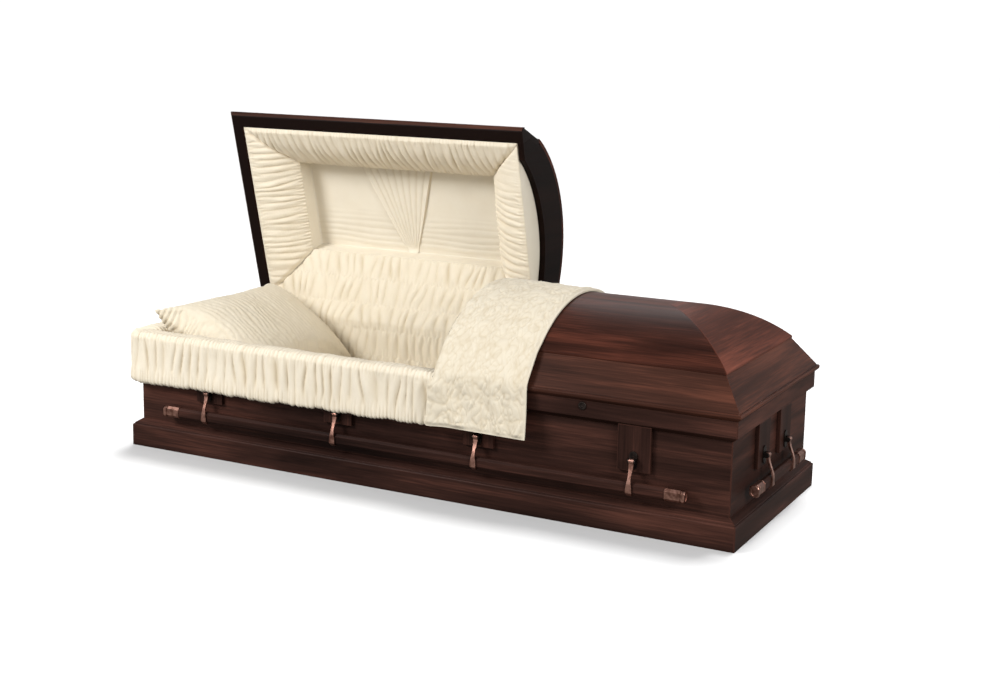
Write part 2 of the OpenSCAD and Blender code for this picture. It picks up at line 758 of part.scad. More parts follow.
base_board();
plinth("front");  // plinth_front
plinth("back");  // plinth_back
plinth("head");  // plinth_head
plinth("foot");  // plinth_foot
wall("front");  // wall_front
wall("back");  // wall_back
wall("head");  // wall_head
wall("foot");  // wall_foot
band("front");  // band_front
band("back");  // band_back
band("head");  // band_head
band("foot");  // band_foot
arm_panels("front");  // arm_panels_front
arm_panels("back");  // arm_panels_back
arm_panels("head");  // arm_panels_head
arm_panels("foot");  // arm_panels_foot
arm_ears("front");  // arm_ears_front
arm_ears("back");  // arm_ears_back
arm_ears("head");  // arm_ears_head
arm_ears("foot");  // arm_ears_foot
arms("front");  // arms_front
arms("back");  // arms_back
arms("head");  // arms_head
arms("foot");  // arms_foot
bar("front");  // bar_front
bar("back");  // bar_back
bar("head");  // bar_head
bar("foot");  // bar_foot
bar_tips("front");  // bar_tips_front
bar_tips("back");  // bar_tips_back
bar_tips("head");  // bar_tips_head
bar_tips("foot");  // bar_tips_foot
head_lid_frame();
head_lid_crown();
head_lid_hip();
head_lid_header();
foot_lid_frame();
foot_lid_crown();
foot_lid_hip();
foot_lid_header();
hinges_body();
hinges_head_lid();
hinges_foot_lid();
lock();
mattress();
pillow();
body_lining();
apron();
head_lid_lining();
foot_lid_lining();
skirt_front();
skirt_corner();
skirt_head();
throw();
throw_flap();
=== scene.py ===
"""Funeral casket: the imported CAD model's finishes, and the cloth pieces that replace its soft solids."""
import math

import bpy
import numpy as np
from mathutils import Matrix, Vector


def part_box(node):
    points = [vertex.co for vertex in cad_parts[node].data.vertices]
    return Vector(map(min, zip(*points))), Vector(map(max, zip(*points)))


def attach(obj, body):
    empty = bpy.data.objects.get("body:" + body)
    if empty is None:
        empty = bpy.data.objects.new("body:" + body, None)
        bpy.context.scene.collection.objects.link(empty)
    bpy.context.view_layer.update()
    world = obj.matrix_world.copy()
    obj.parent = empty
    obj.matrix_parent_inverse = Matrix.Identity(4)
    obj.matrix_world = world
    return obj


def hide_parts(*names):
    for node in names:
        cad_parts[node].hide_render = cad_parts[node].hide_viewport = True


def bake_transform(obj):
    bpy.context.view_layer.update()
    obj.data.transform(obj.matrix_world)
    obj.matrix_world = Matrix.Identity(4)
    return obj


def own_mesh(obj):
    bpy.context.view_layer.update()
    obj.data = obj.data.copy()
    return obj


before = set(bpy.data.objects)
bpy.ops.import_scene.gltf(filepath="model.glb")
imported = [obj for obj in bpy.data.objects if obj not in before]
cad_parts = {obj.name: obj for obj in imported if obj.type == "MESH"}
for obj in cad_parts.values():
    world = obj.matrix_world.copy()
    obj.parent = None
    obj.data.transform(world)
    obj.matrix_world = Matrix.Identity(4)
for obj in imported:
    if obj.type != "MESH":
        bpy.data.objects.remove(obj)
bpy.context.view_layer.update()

# ------------ sizes in metres
# The insides of the walls and of their lining, as half lengths and half widths.
INNER_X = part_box("base_board")[1].x
INNER_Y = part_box("base_board")[1].y
LINING_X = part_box("mattress")[1].x + 0.003
LINING_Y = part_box("mattress")[1].y + 0.003
LINING_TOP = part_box("body_lining")[1].z
# The ends of the two lid halves at the cut between them, and their header boards.
HEAD_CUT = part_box("foot_lid_frame")[0].x - 0.005
FOOT_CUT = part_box("foot_lid_frame")[0].x
HEADER_T = 0.02
# The hinge line, and how far the head half stands open.
HINGE_Y = 0.365
LID_Z = 0.3675
OPEN = math.radians(75.6)
# The lid's lining: the width of its sloping border, the height of that border's inner edge and of the panel.
BORDER = 0.15
BORDER_W = 0.098
PANEL_W = 0.165
# The bed's flat top, and the length of its raised head end.
BED_Z = 0.165
BED_RAISE = 0.38


# ------------ smooth noise, the same on every run
CELLS = 64
TABLES = {}


def noise(x, y, seed):
    """Smooth value noise from -1 to 1."""
    if seed not in TABLES:
        TABLES[seed] = np.random.default_rng(seed).uniform(-1, 1, (CELLS, CELLS))
    t = TABLES[seed]
    x, y = np.broadcast_arrays(np.asarray(x, float), np.asarray(y, float))
    xi, yi = np.floor(x).astype(int), np.floor(y).astype(int)
    fx, fy = x - xi, y - yi
    fx, fy = fx * fx * (3 - 2 * fx), fy * fy * (3 - 2 * fy)
    x0, y0, x1, y1 = xi % CELLS, yi % CELLS, (xi + 1) % CELLS, (yi + 1) % CELLS
    a, b, c, d = t[x0, y0], t[x1, y0], t[x0, y1], t[x1, y1]
    return (a + (b - a) * fx) * (1 - fy) + (c + (d - c) * fx) * fy


def rough_noise(x, y, seed):
    return noise(x, y, seed) * 0.65 + noise(x * 2.1, y * 2.1, seed + 1) * 0.35


def ease(t):
    """A smooth step from 0 to 1."""
    t = np.clip(t, 0, 1)
    return t * t * (3 - 2 * t)


def folds(s, t, pitch, row, depth, seed):
    """Height of gathered cloth, and how deep in a fold each point lies, which sets the painted shade in its
    folds.

    s runs along the seams and t across them, in metres, with a seam every row metres.
    """
    lean = 0.35
    k = np.floor(t / row)
    f = t / row - k
    phase = s / pitch + 0.55 * noise(s / (1.7 * pitch), 3.1 * k + 0.9 * f, seed)
    phase = phase + lean * noise(s / (5 * pitch), k * 5.7, seed + 2) * (f - 0.5)
    size = 0.62 + 0.38 * noise(s / (1.3 * pitch), 2.3 * k + 1.4 * f + 9, seed + 3)
    puff = np.abs(np.cos(math.pi * phase)) ** 0.75
    between = np.sin(math.pi * f) ** 0.7
    small = np.abs(np.cos(math.pi * (2.3 * s / pitch + 0.6 * noise(s / pitch, k * 3.3, seed + 4)))) ** 0.8
    height = depth * (between * puff * size + 0.42 * (1 - between) * small)
    valley = between * (1 - puff) ** 1.6 * size * 1.2 + 0.3 * (1 - between) * (1 - small) ** 1.4
    return height, valley


# ------------ meshes
def mesh_object(name, points, faces, smooth=True):
    mesh = bpy.data.meshes.new(name)
    mesh.from_pydata([tuple(p) for p in points], [], faces)
    mesh.polygons.foreach_set("use_smooth", [smooth] * len(mesh.polygons))
    mesh.update()
    obj = bpy.data.objects.new(name, mesh)
    bpy.context.scene.collection.objects.link(obj)
    return obj


def grid_faces(nu, nv):
    corners = [i * nv + k for i in range(nu - 1) for k in range(nv - 1)]
    return [(c, c + nv, c + nv + 1, c + 1) for c in corners]


def normals(p, towards):
    """Unit normals of a grid of points, on the side of a direction or of a grid of directions."""
    n = np.cross(np.gradient(p, axis=0), np.gradient(p, axis=1))
    n /= np.maximum(np.linalg.norm(n, axis=2, keepdims=True), 1e-12)
    if (n * np.asarray(towards)).sum() < 0:
        n = -n
    return n


def grid_object(name, p, fold_shade=None):
    """A sheet through a grid of points; the optional last argument, from 0 to 1, is how deep in a fold each
    point lies and so how much painted shade its cloth gets there.
    """
    obj = mesh_object(name, p.reshape(-1, 3), grid_faces(p.shape[0], p.shape[1]))
    if fold_shade is not None:
        set_fold_shade(obj, fold_shade)
    return obj


def set_fold_shade(obj, fold_shade):
    layer = obj.data.attributes.new("fold_shade", "FLOAT", "POINT")
    layer.data.foreach_set("value", np.clip(fold_shade, 0, 1).astype(np.float32).ravel())


def along(points, steps):
    """Points evenly spaced on a polyline, with its corners rounded, and how far along each one is."""
    p = np.array(points, float)
    d = np.r_[0, np.cumsum(np.linalg.norm(np.diff(p, axis=0), axis=1))]
    fine = np.linspace(0, d[-1], 400)
    q = np.stack([np.interp(fine, d, p[:, i]) for i in range(p.shape[1])], axis=1)
    for _ in range(3):
        q[1:-1] = (q[:-2] + q[1:-1] * 2 + q[2:]) / 4
        q[3:-3] = (q[:-6] + q[3:-3] + q[6:]) / 3
    d = np.r_[0, np.cumsum(np.linalg.norm(np.diff(q, axis=0), axis=1))]
    at = np.linspace(0, d[-1], steps)
    return np.stack([np.interp(at, d, q[:, i]) for i in range(p.shape[1])], axis=1), at


# ------------ materials
# Three stains from the darkest to the lightest streak, of the wood and of the parts that look nearly black.
# The middle dark stain is also painted shade on the open lid's underside.
WOOD = ((0.0145, 0.0049, 0.0032), (0.043, 0.0138, 0.0088), (0.134, 0.039, 0.0235))
DARK = ((0.004, 0.0022, 0.0018), (0.0085, 0.0042, 0.0033), (0.016, 0.007, 0.005))


def node_material(name):
    mat = bpy.data.materials.new(name)
    mat.use_nodes = True
    tree = mat.node_tree
    return mat, tree, tree.nodes["Principled BSDF"]


def link(tree, a, b):
    tree.links.new(a, b)


def new(tree, kind, **values):
    """A node with the given inputs and settings."""
    n = tree.nodes.new(kind)
    for k, v in values.items():
        if k in n.inputs:
            n.inputs[k].default_value = v
        else:
            setattr(n, k, v)
    return n


def ramp(tree, source, stops):
    """Colours a value by stops of (position, colour)."""
    n = tree.nodes.new("ShaderNodeValToRGB")
    e = n.color_ramp.elements
    while len(e) < len(stops):
        e.new(0.5)
    for el, (at, colour) in zip(e, stops):
        el.position = at
        el.color = (*colour, 1)
    link(tree, source, n.inputs["Fac"])
    return n.outputs["Color"]


def stretched(tree, scale, ends=None):
    """Scaled object coordinates.

    On faces that look along X, the X axis changes places with the one that ends names.
    """
    looks_along_x = 0.35
    coords = new(tree, "ShaderNodeTexCoord")
    place = coords.outputs["Object"]
    if ends:
        parts = new(tree, "ShaderNodeSeparateXYZ")
        link(tree, place, parts.inputs["Vector"])
        swapped = new(tree, "ShaderNodeCombineXYZ")
        for source, target in zip("XYZ", ("YXZ" if ends == "Y" else "ZYX")):
            link(tree, parts.outputs[source], swapped.inputs[target])
        facing = new(tree, "ShaderNodeSeparateXYZ")
        link(tree, coords.outputs["Normal"], facing.inputs["Vector"])
        size = new(tree, "ShaderNodeMath", operation="ABSOLUTE")
        link(tree, facing.outputs["X"], size.inputs[0])
        is_end = new(tree, "ShaderNodeMath", operation="GREATER_THAN")
        link(tree, size.outputs[0], is_end.inputs[0])
        is_end.inputs[1].default_value = looks_along_x
        pick = new(tree, "ShaderNodeMix", data_type="VECTOR")
        link(tree, is_end.outputs[0], pick.inputs["Factor"])
        link(tree, place, pick.inputs["A"])
        link(tree, swapped.outputs["Vector"], pick.inputs["B"])
        place = pick.outputs["Result"]
    mapping = new(tree, "ShaderNodeMapping")
    mapping.inputs["Scale"].default_value = scale
    link(tree, place, mapping.inputs["Vector"])
    return mapping.outputs["Vector"]


def rubbed_and_lit_edges(tree, base, colour, reach):
    """Mixes a lighter colour into the base along the outer edges: partly a finish rubbed thin there, partly
    a painted highlight where the edges catch the light.
    """
    depth = new(tree, "ShaderNodeAmbientOcclusion", inside=True, only_local=True, samples=6)
    depth.inputs["Distance"].default_value = reach
    edge = new(tree, "ShaderNodeMapRange")
    edge.inputs["From Min"].default_value = 0.92
    edge.inputs["From Max"].default_value = 0.5
    link(tree, depth.outputs["AO"], edge.inputs["Value"])
    worn_and_lit = new(tree, "ShaderNodeMix", data_type="RGBA")
    link(tree, edge.outputs["Result"], worn_and_lit.inputs["Factor"])
    link(tree, base, worn_and_lit.inputs["A"])
    worn_and_lit.inputs["B"].default_value = (*colour, 1)
    return worn_and_lit.outputs["Result"]


def painted_corner_shade(tree, colour):
    """Darkens a colour in the seams and inner corners: painted shade where shadow falls into the joints and
    under overhangs.
    """
    hollow = new(tree, "ShaderNodeAmbientOcclusion", samples=4)
    hollow.inputs["Distance"].default_value = 0.016
    share = new(tree, "ShaderNodeMapRange")
    share.inputs["From Min"].default_value = 0.3
    share.inputs["From Max"].default_value = 0.85
    share.inputs["To Min"].default_value = 0.3
    link(tree, hollow.outputs["AO"], share.inputs["Value"])
    shaded = new(tree, "ShaderNodeMix", data_type="RGBA", blend_type="MULTIPLY")
    shaded.inputs["Factor"].default_value = 1.0
    link(tree, colour, shaded.inputs["A"])
    link(tree, share.outputs["Result"], shaded.inputs["B"])
    return shaded.outputs["Result"]


def underside_shade_mask(tree, obj):
    """1 on the open lid's underside and on its end at the cut, where painted shade goes, 0 on the rest of
    it.
    """
    place = new(tree, "ShaderNodeTexCoord").outputs["Object"]
    turn = obj.matrix_world.to_3x3().transposed()
    start = obj.matrix_world.translation
    skin = 0.002
    lid_up = (0, math.sin(OPEN), math.cos(OPEN))
    underside = HINGE_Y * math.sin(OPEN) + LID_Z * math.cos(OPEN)
    sides = []
    for normal, edge in ((lid_up, underside + skin), ((-1, 0, 0), -HEAD_CUT + skin)):
        along_normal = new(tree, "ShaderNodeVectorMath", operation="DOT_PRODUCT")
        link(tree, place, along_normal.inputs[0])
        along_normal.inputs[1].default_value = turn @ Vector(normal)
        side = new(tree, "ShaderNodeMath", operation="LESS_THAN")
        link(tree, along_normal.outputs["Value"], side.inputs[0])
        side.inputs[1].default_value = edge - start.dot(Vector(normal))
        sides.append(side.outputs[0])
    either = new(tree, "ShaderNodeMath", operation="MAXIMUM")
    link(tree, sides[0], either.inputs[0])
    link(tree, sides[1], either.inputs[1])
    return either.outputs[0]


def rough_between(tree, shader, value, low, high):
    """Gives the shader a roughness from low to high, as a value goes from 0 to 1."""
    shine = new(tree, "ShaderNodeMapRange")
    shine.inputs["To Min"].default_value = low
    shine.inputs["To Max"].default_value = high
    link(tree, value, shine.inputs["Value"])
    link(tree, shine.outputs["Result"], shader.inputs["Roughness"])


def relief(tree, shader, height, radius, strength, distance):
    """Gives the shader edges that look rounded, and a fine bump."""
    rounded = new(tree, "ShaderNodeBevel", samples=4)
    rounded.inputs["Radius"].default_value = radius
    bump = new(tree, "ShaderNodeBump", Strength=strength, Distance=distance)
    link(tree, height, bump.inputs["Height"])
    link(tree, rounded.outputs["Normal"], bump.inputs["Normal"])
    link(tree, bump.outputs["Normal"], shader.inputs["Normal"])


def wood_material(name, grain, dark, mid, light, coat=0.01, roughness=0.42, streak=0.95, gloss=0.06,
                  lid=None, ends=None):
    """Stained wood with its grain along X, Y or Z; streak is the contrast of its streaks.

    With grain along X, ends names the axis of the grain on faces that look along X. The open lid's frame,
    given as lid, gets painted shade: a nearly black underside and end at the cut.
    """
    mat, tree, shader = node_material(name)
    axis = "XYZ".index(grain)

    def scale(across, lengthwise):
        return tuple(lengthwise if i == axis else across for i in range(3))

    broad = new(tree, "ShaderNodeTexNoise", Scale=1.0, Detail=4.0, Roughness=0.55, Distortion=0.7)
    link(tree, stretched(tree, scale(across=15, lengthwise=1.1), ends), broad.inputs["Vector"])
    fibre = new(tree, "ShaderNodeTexNoise", Scale=1.0, Detail=3.0, Roughness=0.6)
    link(tree, stretched(tree, scale(across=230, lengthwise=7), ends), fibre.inputs["Vector"])
    patch = new(tree, "ShaderNodeTexNoise", Scale=1.0, Detail=2.0)
    link(tree, stretched(tree, scale(across=4.5, lengthwise=1.6), ends), patch.inputs["Vector"])
    mix = new(tree, "ShaderNodeMath", operation="MULTIPLY_ADD")
    link(tree, broad.outputs["Fac"], mix.inputs[0])
    mix.inputs[1].default_value = streak
    mix.inputs[2].default_value = 0.5 - 0.5 * streak
    add = new(tree, "ShaderNodeMix", data_type="FLOAT")
    add.inputs["Factor"].default_value = 0.34
    link(tree, mix.outputs[0], add.inputs["A"])
    link(tree, fibre.outputs["Fac"], add.inputs["B"])
    both = new(tree, "ShaderNodeMix", data_type="FLOAT")
    both.inputs["Factor"].default_value = 0.3
    link(tree, add.outputs["Result"], both.inputs["A"])
    link(tree, patch.outputs["Fac"], both.inputs["B"])
    base = ramp(tree, both.outputs["Result"], [(0.36, dark), (0.5, mid), (0.66, light)])
    # The lighter edge colour is partly rubbed finish and partly a painted highlight; the seams and inner
    # corners get painted shade.
    edge_wear_and_highlight = [0.6 * m + 0.4 * w for m, w in zip(mid, light)]
    colour = painted_corner_shade(tree, rubbed_and_lit_edges(tree, base, edge_wear_and_highlight, reach=0.003))
    # Painted shade: the open lid's underside and its end at the cut are turned nearly black.
    if lid:
        underside_shade = new(tree, "ShaderNodeMix", data_type="RGBA")
        link(tree, underside_shade_mask(tree, lid), underside_shade.inputs["Factor"])
        link(tree, colour, underside_shade.inputs["A"])
        underside_shade.inputs["B"].default_value = (*DARK[1], 1)
        colour = underside_shade.outputs["Result"]
    link(tree, colour, shader.inputs["Base Color"])
    rough_between(tree, shader, fibre.outputs["Fac"], roughness - 0.07, roughness + 0.09)
    relief(tree, shader, fibre.outputs["Fac"], radius=0.0025, strength=0.12, distance=0.0006)
    shader.inputs["Specular IOR Level"].default_value = gloss
    shader.inputs["Coat Weight"].default_value = coat
    shader.inputs["Coat Roughness"].default_value = 0.22
    return mat


def metal_material(name, colour, deep, roughness):
    """Metal brushed along X, with clouds of a deeper colour."""
    mat, tree, shader = node_material(name)
    brush = new(tree, "ShaderNodeTexNoise", Scale=1.0, Detail=3.0)
    link(tree, stretched(tree, (60, 700, 700)), brush.inputs["Vector"])
    cloud = new(tree, "ShaderNodeTexNoise", Scale=60.0, Detail=3.0)
    link(tree, stretched(tree, (1, 1, 1)), cloud.inputs["Vector"])
    link(tree, ramp(tree, cloud.outputs["Fac"], [(0.35, deep), (0.6, colour)]), shader.inputs["Base Color"])
    rough_between(tree, shader, brush.outputs["Fac"], roughness - 0.08, roughness + 0.12)
    relief(tree, shader, brush.outputs["Fac"], radius=0.0012, strength=0.15, distance=0.0002)
    shader.inputs["Metallic"].default_value = 1.0
    return mat


def cloth_material(name, colour, shade, crinkle=1.0):
    """Cream cloth: a fine weave, small crepe crinkles, a little variation of colour, and painted shade in
    the folds.
    """
    fold_shade_colour = [c * k for c, k in zip(colour, (0.76, 0.7, 0.6))]
    mat, tree, shader = node_material(name)
    tone = new(tree, "ShaderNodeTexNoise", Scale=1.0, Detail=3.0, Roughness=0.6)
    link(tree, stretched(tree, (14, 14, 14)), tone.inputs["Vector"])
    base = ramp(tree, tone.outputs["Fac"], [(0.3, shade), (0.62, colour)])
    # Painted shade: the cloth's colour turns darker and warmer where the mesh marks a fold.
    inside = new(tree, "ShaderNodeAttribute", attribute_name="fold_shade")
    folded = new(tree, "ShaderNodeMix", data_type="RGBA")
    link(tree, inside.outputs["Fac"], folded.inputs["Factor"])
    link(tree, base, folded.inputs["A"])
    folded.inputs["B"].default_value = (*fold_shade_colour, 1)
    link(tree, folded.outputs["Result"], shader.inputs["Base Color"])
    crepe = new(tree, "ShaderNodeTexNoise", Scale=1.0, Detail=3.0, Roughness=0.65, Distortion=0.4)
    link(tree, stretched(tree, (190, 190, 120)), crepe.inputs["Vector"])
    weave = new(tree, "ShaderNodeTexNoise", Scale=1.0, Detail=1.0)
    link(tree, stretched(tree, (900, 900, 900)), weave.inputs["Vector"])
    first = new(tree, "ShaderNodeBump", Strength=0.35 * crinkle, Distance=0.002)
    link(tree, crepe.outputs["Fac"], first.inputs["Height"])
    second = new(tree, "ShaderNodeBump", Strength=0.2, Distance=0.0004)
    link(tree, weave.outputs["Fac"], second.inputs["Height"])
    link(tree, first.outputs["Normal"], second.inputs["Normal"])
    link(tree, second.outputs["Normal"], shader.inputs["Normal"])
    rough_between(tree, shader, crepe.outputs["Fac"], 0.74, 0.9)
    shader.inputs["Sheen Weight"].default_value = 0.15
    shader.inputs["Sheen Roughness"].default_value = 0.4
    shader.inputs["Specular IOR Level"].default_value = 0.25
    return mat


def toned(*factors):
    """The wood's three stains, each with its red, green and blue scaled."""
    return [tuple(c * k for c, k in zip(tone, factors)) for tone in WOOD]


BODY = toned(0.86, 1.14, 1.33)
# The frame copy of the wood is lighter: painted light on the lids' sloping frames, which face up towards the
# light.
FRAME_LIT = toned(1.3, 1.5, 1.5)
# The hip copy is about twice as light: a painted sheen on the lids' hipped ends.
HIP_SHEEN = toned(2.05, 2.1, 2.15)
RAW = ((0.06, 0.032, 0.02), (0.1, 0.055, 0.035), (0.15, 0.09, 0.06))
wood = {g: wood_material(f"stained_wood_{g.lower()}", g, *BODY) for g in "XYZ"}
crown_wood = wood_material("crown_wood", "X", *WOOD, streak=1.1)
lit_frame_wood = wood_material("lit_frame_wood", "X", *FRAME_LIT, streak=0.75, ends="Y")
dark = wood_material("dark_wood", "Y", *DARK, coat=0.0, gloss=0.04)
open_frame = wood_material("open_lid_wood", "X", *FRAME_LIT, streak=0.75, coat=0.0,
                           lid=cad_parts["head_lid_frame"], ends="Z")
hip_sheen_wood = {g: wood_material(f"hip_sheen_wood_{g.lower()}", g, *HIP_SHEEN, streak=0.75) for g in "YZ"}
plain = wood_material("plain_wood", "X", *RAW, coat=0.0, roughness=0.7)
copper = metal_material("brushed_copper", (0.46, 0.25, 0.195), (0.2, 0.095, 0.07), roughness=0.33)
bronze = metal_material("hinge_bronze", (0.4, 0.31, 0.22), (0.22, 0.16, 0.11), roughness=0.42)
lock_metal = metal_material("lock_bronze", (0.045, 0.035, 0.031), (0.018, 0.013, 0.012), roughness=0.45)
crepe_cloth = cloth_material("cream_crepe", (0.85, 0.77, 0.625), (0.82, 0.735, 0.585))
smooth_cloth = cloth_material("cream_satin", (0.79, 0.725, 0.6), (0.77, 0.7, 0.57), crinkle=0.35)
throw_cloth = cloth_material("cream_throw", (0.77, 0.695, 0.555), (0.745, 0.665, 0.52))
bed_cloth = cloth_material("bed_cotton", (0.84, 0.77, 0.64), (0.8, 0.72, 0.58), crinkle=0.6)


def finish_of(node):
    """The material of a CAD node that keeps its own shape."""
    if node.startswith(("arms_", "bar_tips_")):
        return copper
    if node.startswith("arm_ears_"):
        return lock_metal
    if node.startswith("hinges_"):
        return bronze
    if node == "lock":
        return lock_metal
    if node == "base_board":
        return plain
    if node.startswith("arm_panels_"):
        return wood["Z"]
    if node.endswith("_header"):
        return dark
    if node == "head_lid_frame":
        return open_frame
    if node == "foot_lid_frame":
        return lit_frame_wood
    if node.endswith("_hip"):
        return hip_sheen_wood["Z" if node.startswith("head_lid") else "Y"]
    if node.endswith("_crown"):
        return crown_wood
    return wood["Y" if node.endswith(("_head", "_foot")) else "X"]


SOFT = ("mattress", "pillow", "body_lining", "apron", "head_lid_lining", "foot_lid_lining",
        "skirt_front", "skirt_corner", "skirt_head", "throw", "throw_flap")
for cad_name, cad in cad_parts.items():
    if cad_name in SOFT:
        continue
    finish = finish_of(cad_name)
    for material_slot in cad.material_slots:
        material_slot.material = finish
    if not cad.material_slots:
        cad.data.materials.append(finish)


def put(obj, body, material, slot_name, *replaced):
    """Gives a new piece its material and its body, and hides the CAD nodes that it stands for; its slot name
    is not used.
    """
    obj.data.materials.append(material)
    if body:
        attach(obj, body)
    if replaced:
        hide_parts(*replaced)
    return obj


# ------------ the skirt over the walls' top edge
SKIRT_END = FOOT_CUT - 0.0005


def skirt():
    """The gathered cloth over the front and head walls, in three lengths."""
    step = 0.0032
    face = 0.0575
    hem_z = 0.2275
    front = INNER_X + SKIRT_END
    turn = face * math.pi / 2
    head = INNER_Y + INNER_Y - 0.008
    total = front + turn + head
    s = np.linspace(0, total, int(total / step))
    over_wall = [(-0.011, 0.362), (-0.009, 0.374), (0.002, 0.386), (0.024, 0.389), (0.046, 0.386)]
    down = [(0.056, 0.374), (face, 0.352), (face, 0.29), (face + 0.001, 0.236)]
    hem_turn = [(face - 0.001, 0.2285), (face - 0.006, hem_z), (face - 0.009, 0.234), (face - 0.009, 0.25)]
    profile, t = along(over_wall + down + hem_turn, 86)
    d, z = profile[:, 0], profile[:, 1]
    bx = np.where(s < front, SKIRT_END - s, -INNER_X)
    by = np.where(s < front + turn, -INNER_Y, -INNER_Y + (s - front - turn))
    a = np.clip((s - front) / turn, 0, 1) * math.pi / 2
    out = np.stack([-np.sin(a), -np.cos(a), 0 * a], axis=1)
    base = np.stack([bx, by, 0 * s], axis=1)[:, None, :] + d[None, :, None] * out[:, None, :]
    base[:, :, 2] = z[None, :]
    sg, tg = np.meshgrid(s, t, indexing="ij")
    zg = np.broadcast_to(z[None, :], sg.shape)
    outside = ease((d[None, :] - 0.03) / 0.02) * np.ones_like(sg)
    pitch = 0.037
    phase = sg / pitch + 0.6 * noise(sg / 0.06, zg * 5, 11) + 0.12 * noise(sg / 0.03, zg * 14, 12)
    size = 0.62 + 0.38 * noise(sg / 0.045, zg * 6, 13)
    main = np.abs(np.cos(math.pi * phase)) ** 0.7 * size
    fine = np.abs(np.cos(math.pi * (sg / 0.0135 + 0.7 * noise(sg / 0.03, zg * 12, 14)))) ** 0.8
    middle = np.exp(-((zg - 0.312) / 0.052) ** 4)
    edge = 1 - middle
    h = outside * (0.0135 * middle * main + 0.0052 * edge * fine + 0.0045 * edge * main)
    h += (1 - outside) * (0.0055 * fine + 0.003 * noise(sg / 0.05, tg / 0.03, 15))
    h += 0.003 * noise(sg / 0.16, zg * 9, 16) * outside - 0.003 * outside * middle
    under = tg > t[int(np.argmin(np.abs(z - hem_z)))]
    valley = outside * (middle * (1 - np.abs(np.cos(math.pi * phase)) ** 0.7) ** 1.5 * size * 1.3
                        + 0.6 * edge * (1 - fine) ** 1.3) + (1 - outside) * 0.5 * (1 - fine) ** 1.3
    h = np.where(under, np.minimum(h, 0.002), h)
    towards = out[:, None, :] + np.array([0, 0, 0.001])
    n = normals(base, towards * (zg[..., None] < 0.37))
    p = base + n * h[..., None]
    hem = ease((0.24 - zg) / 0.02) * (1 - under)
    p[:, :, 2] += 0.004 * noise(sg / 0.05, 0 * sg, 17) * ease((0.26 - zg) / 0.03)
    p[:, :, 2] += 0.0018 * fine * hem
    i0, i1 = int(np.searchsorted(s, front)), int(np.searchsorted(s, front + turn))
    parts = {}
    lengths = (("skirt_front", 0, i0 + 1), ("skirt_corner", i0, i1 + 1), ("skirt_head", i1, len(s)))
    for name, lo, hi in lengths:
        piece = grid_object(f"{name}_cloth", p[lo:hi], valley[lo:hi])
        parts[name] = put(piece, "casket", crepe_cloth, "crepe_fabric", name)
    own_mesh(parts["skirt_front"])
    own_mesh(parts["skirt_corner"])
    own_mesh(parts["skirt_head"])


# ------------ the lids' linings
def open_lid(x, v, w):
    """A point of the head lid as it stands open.

    v runs from the hinge across the lid, and w up from the lid's underside.
    """
    y = HINGE_Y - v * math.cos(OPEN) + w * math.sin(OPEN)
    return np.stack(np.broadcast_arrays(x, y, LID_Z + v * math.sin(OPEN) + w * math.cos(OPEN)), axis=-1)


def closed_lid(x, v, w):
    """The same for the foot lid, which is closed."""
    return np.stack(np.broadcast_arrays(x, HINGE_Y - v, LID_Z + w), axis=-1)


V_OUT = (HINGE_Y - INNER_Y + 0.003, HINGE_Y + INNER_Y - 0.003)
V_IN = (V_OUT[0] + BORDER, V_OUT[1] - BORDER)


def border_point(side, x_out, u, a):
    """A point of the sloping border.

    u runs from 0 to 1 along that side, and a from 0 at the rim to 1 at the border's inner edge.
    """
    x0, x1 = x_out[0] + BORDER * a, x_out[1] - BORDER * a
    v0, v1 = V_OUT[0] + BORDER * a, V_OUT[1] - BORDER * a
    w = 0.004 + (BORDER_W - 0.004) * a
    if side == "far":
        return x0 + (x1 - x0) * u, v1 + 0 * u, w
    if side == "near":
        return x0 + (x1 - x0) * u, v0 + 0 * u, w
    if side == "low_x":
        return x0 + 0 * u, v0 + (v1 - v0) * u, w
    return x1 + 0 * u, v0 + (v1 - v0) * u, w


def border(name, side, x_out, place, inside, seed, pitch=0.036, depth=0.0115, body="head_lid"):
    """One side of the gathered border, puffed out between the rim and its inner edge."""
    length = x_out[1] - x_out[0] if side in ("far", "near") else V_OUT[1] - V_OUT[0]
    nu, na = int(length / 0.0034), 50
    u = np.linspace(0, 1, nu)[:, None] * np.ones((1, na))
    a = np.linspace(0, 1, na)[None, :] * np.ones((nu, 1))
    x, v, w = border_point(side, x_out, u, a)
    p = place(x, v, w)
    s = x if side in ("far", "near") else v
    across = a * math.hypot(BORDER, BORDER_W)
    n = normals(p, inside)
    shape = 0.02 * np.sin(math.pi * a ** 0.85) ** 0.8
    gather, valley = folds(s, across + 0.004, pitch, across.max() + 0.008, depth, seed)
    fine = np.abs(np.cos(math.pi * (s / 0.012 + noise(s / 0.03, a * 3, seed + 7)))) ** 0.8
    edge = np.exp(-(a / 0.12) ** 2) + np.exp(-((1 - a) / 0.12) ** 2)
    h = shape + gather + 0.0045 * fine * edge + 0.002 * rough_noise(s / 0.02, across / 0.05, seed + 9)
    h *= ease(a / 0.04) * 0.9 + 0.1
    valley = valley * 0.9 + 0.45 * edge * (1 - fine) ** 1.3
    end = np.minimum(u, 1 - u) * length
    h *= 0.6 + 0.4 * ease(end / 0.03)
    if side == "high_x":
        calm = 0.3 + 0.7 * ease((1 - u) * length / 0.2 - 0.25)
        h = shape * (1 - calm) * ease(end / 0.03) + h * calm
        valley = valley * calm
    obj = put(grid_object(name, p + n * h[..., None], valley), body, crepe_cloth, "crepe_fabric")
    return obj


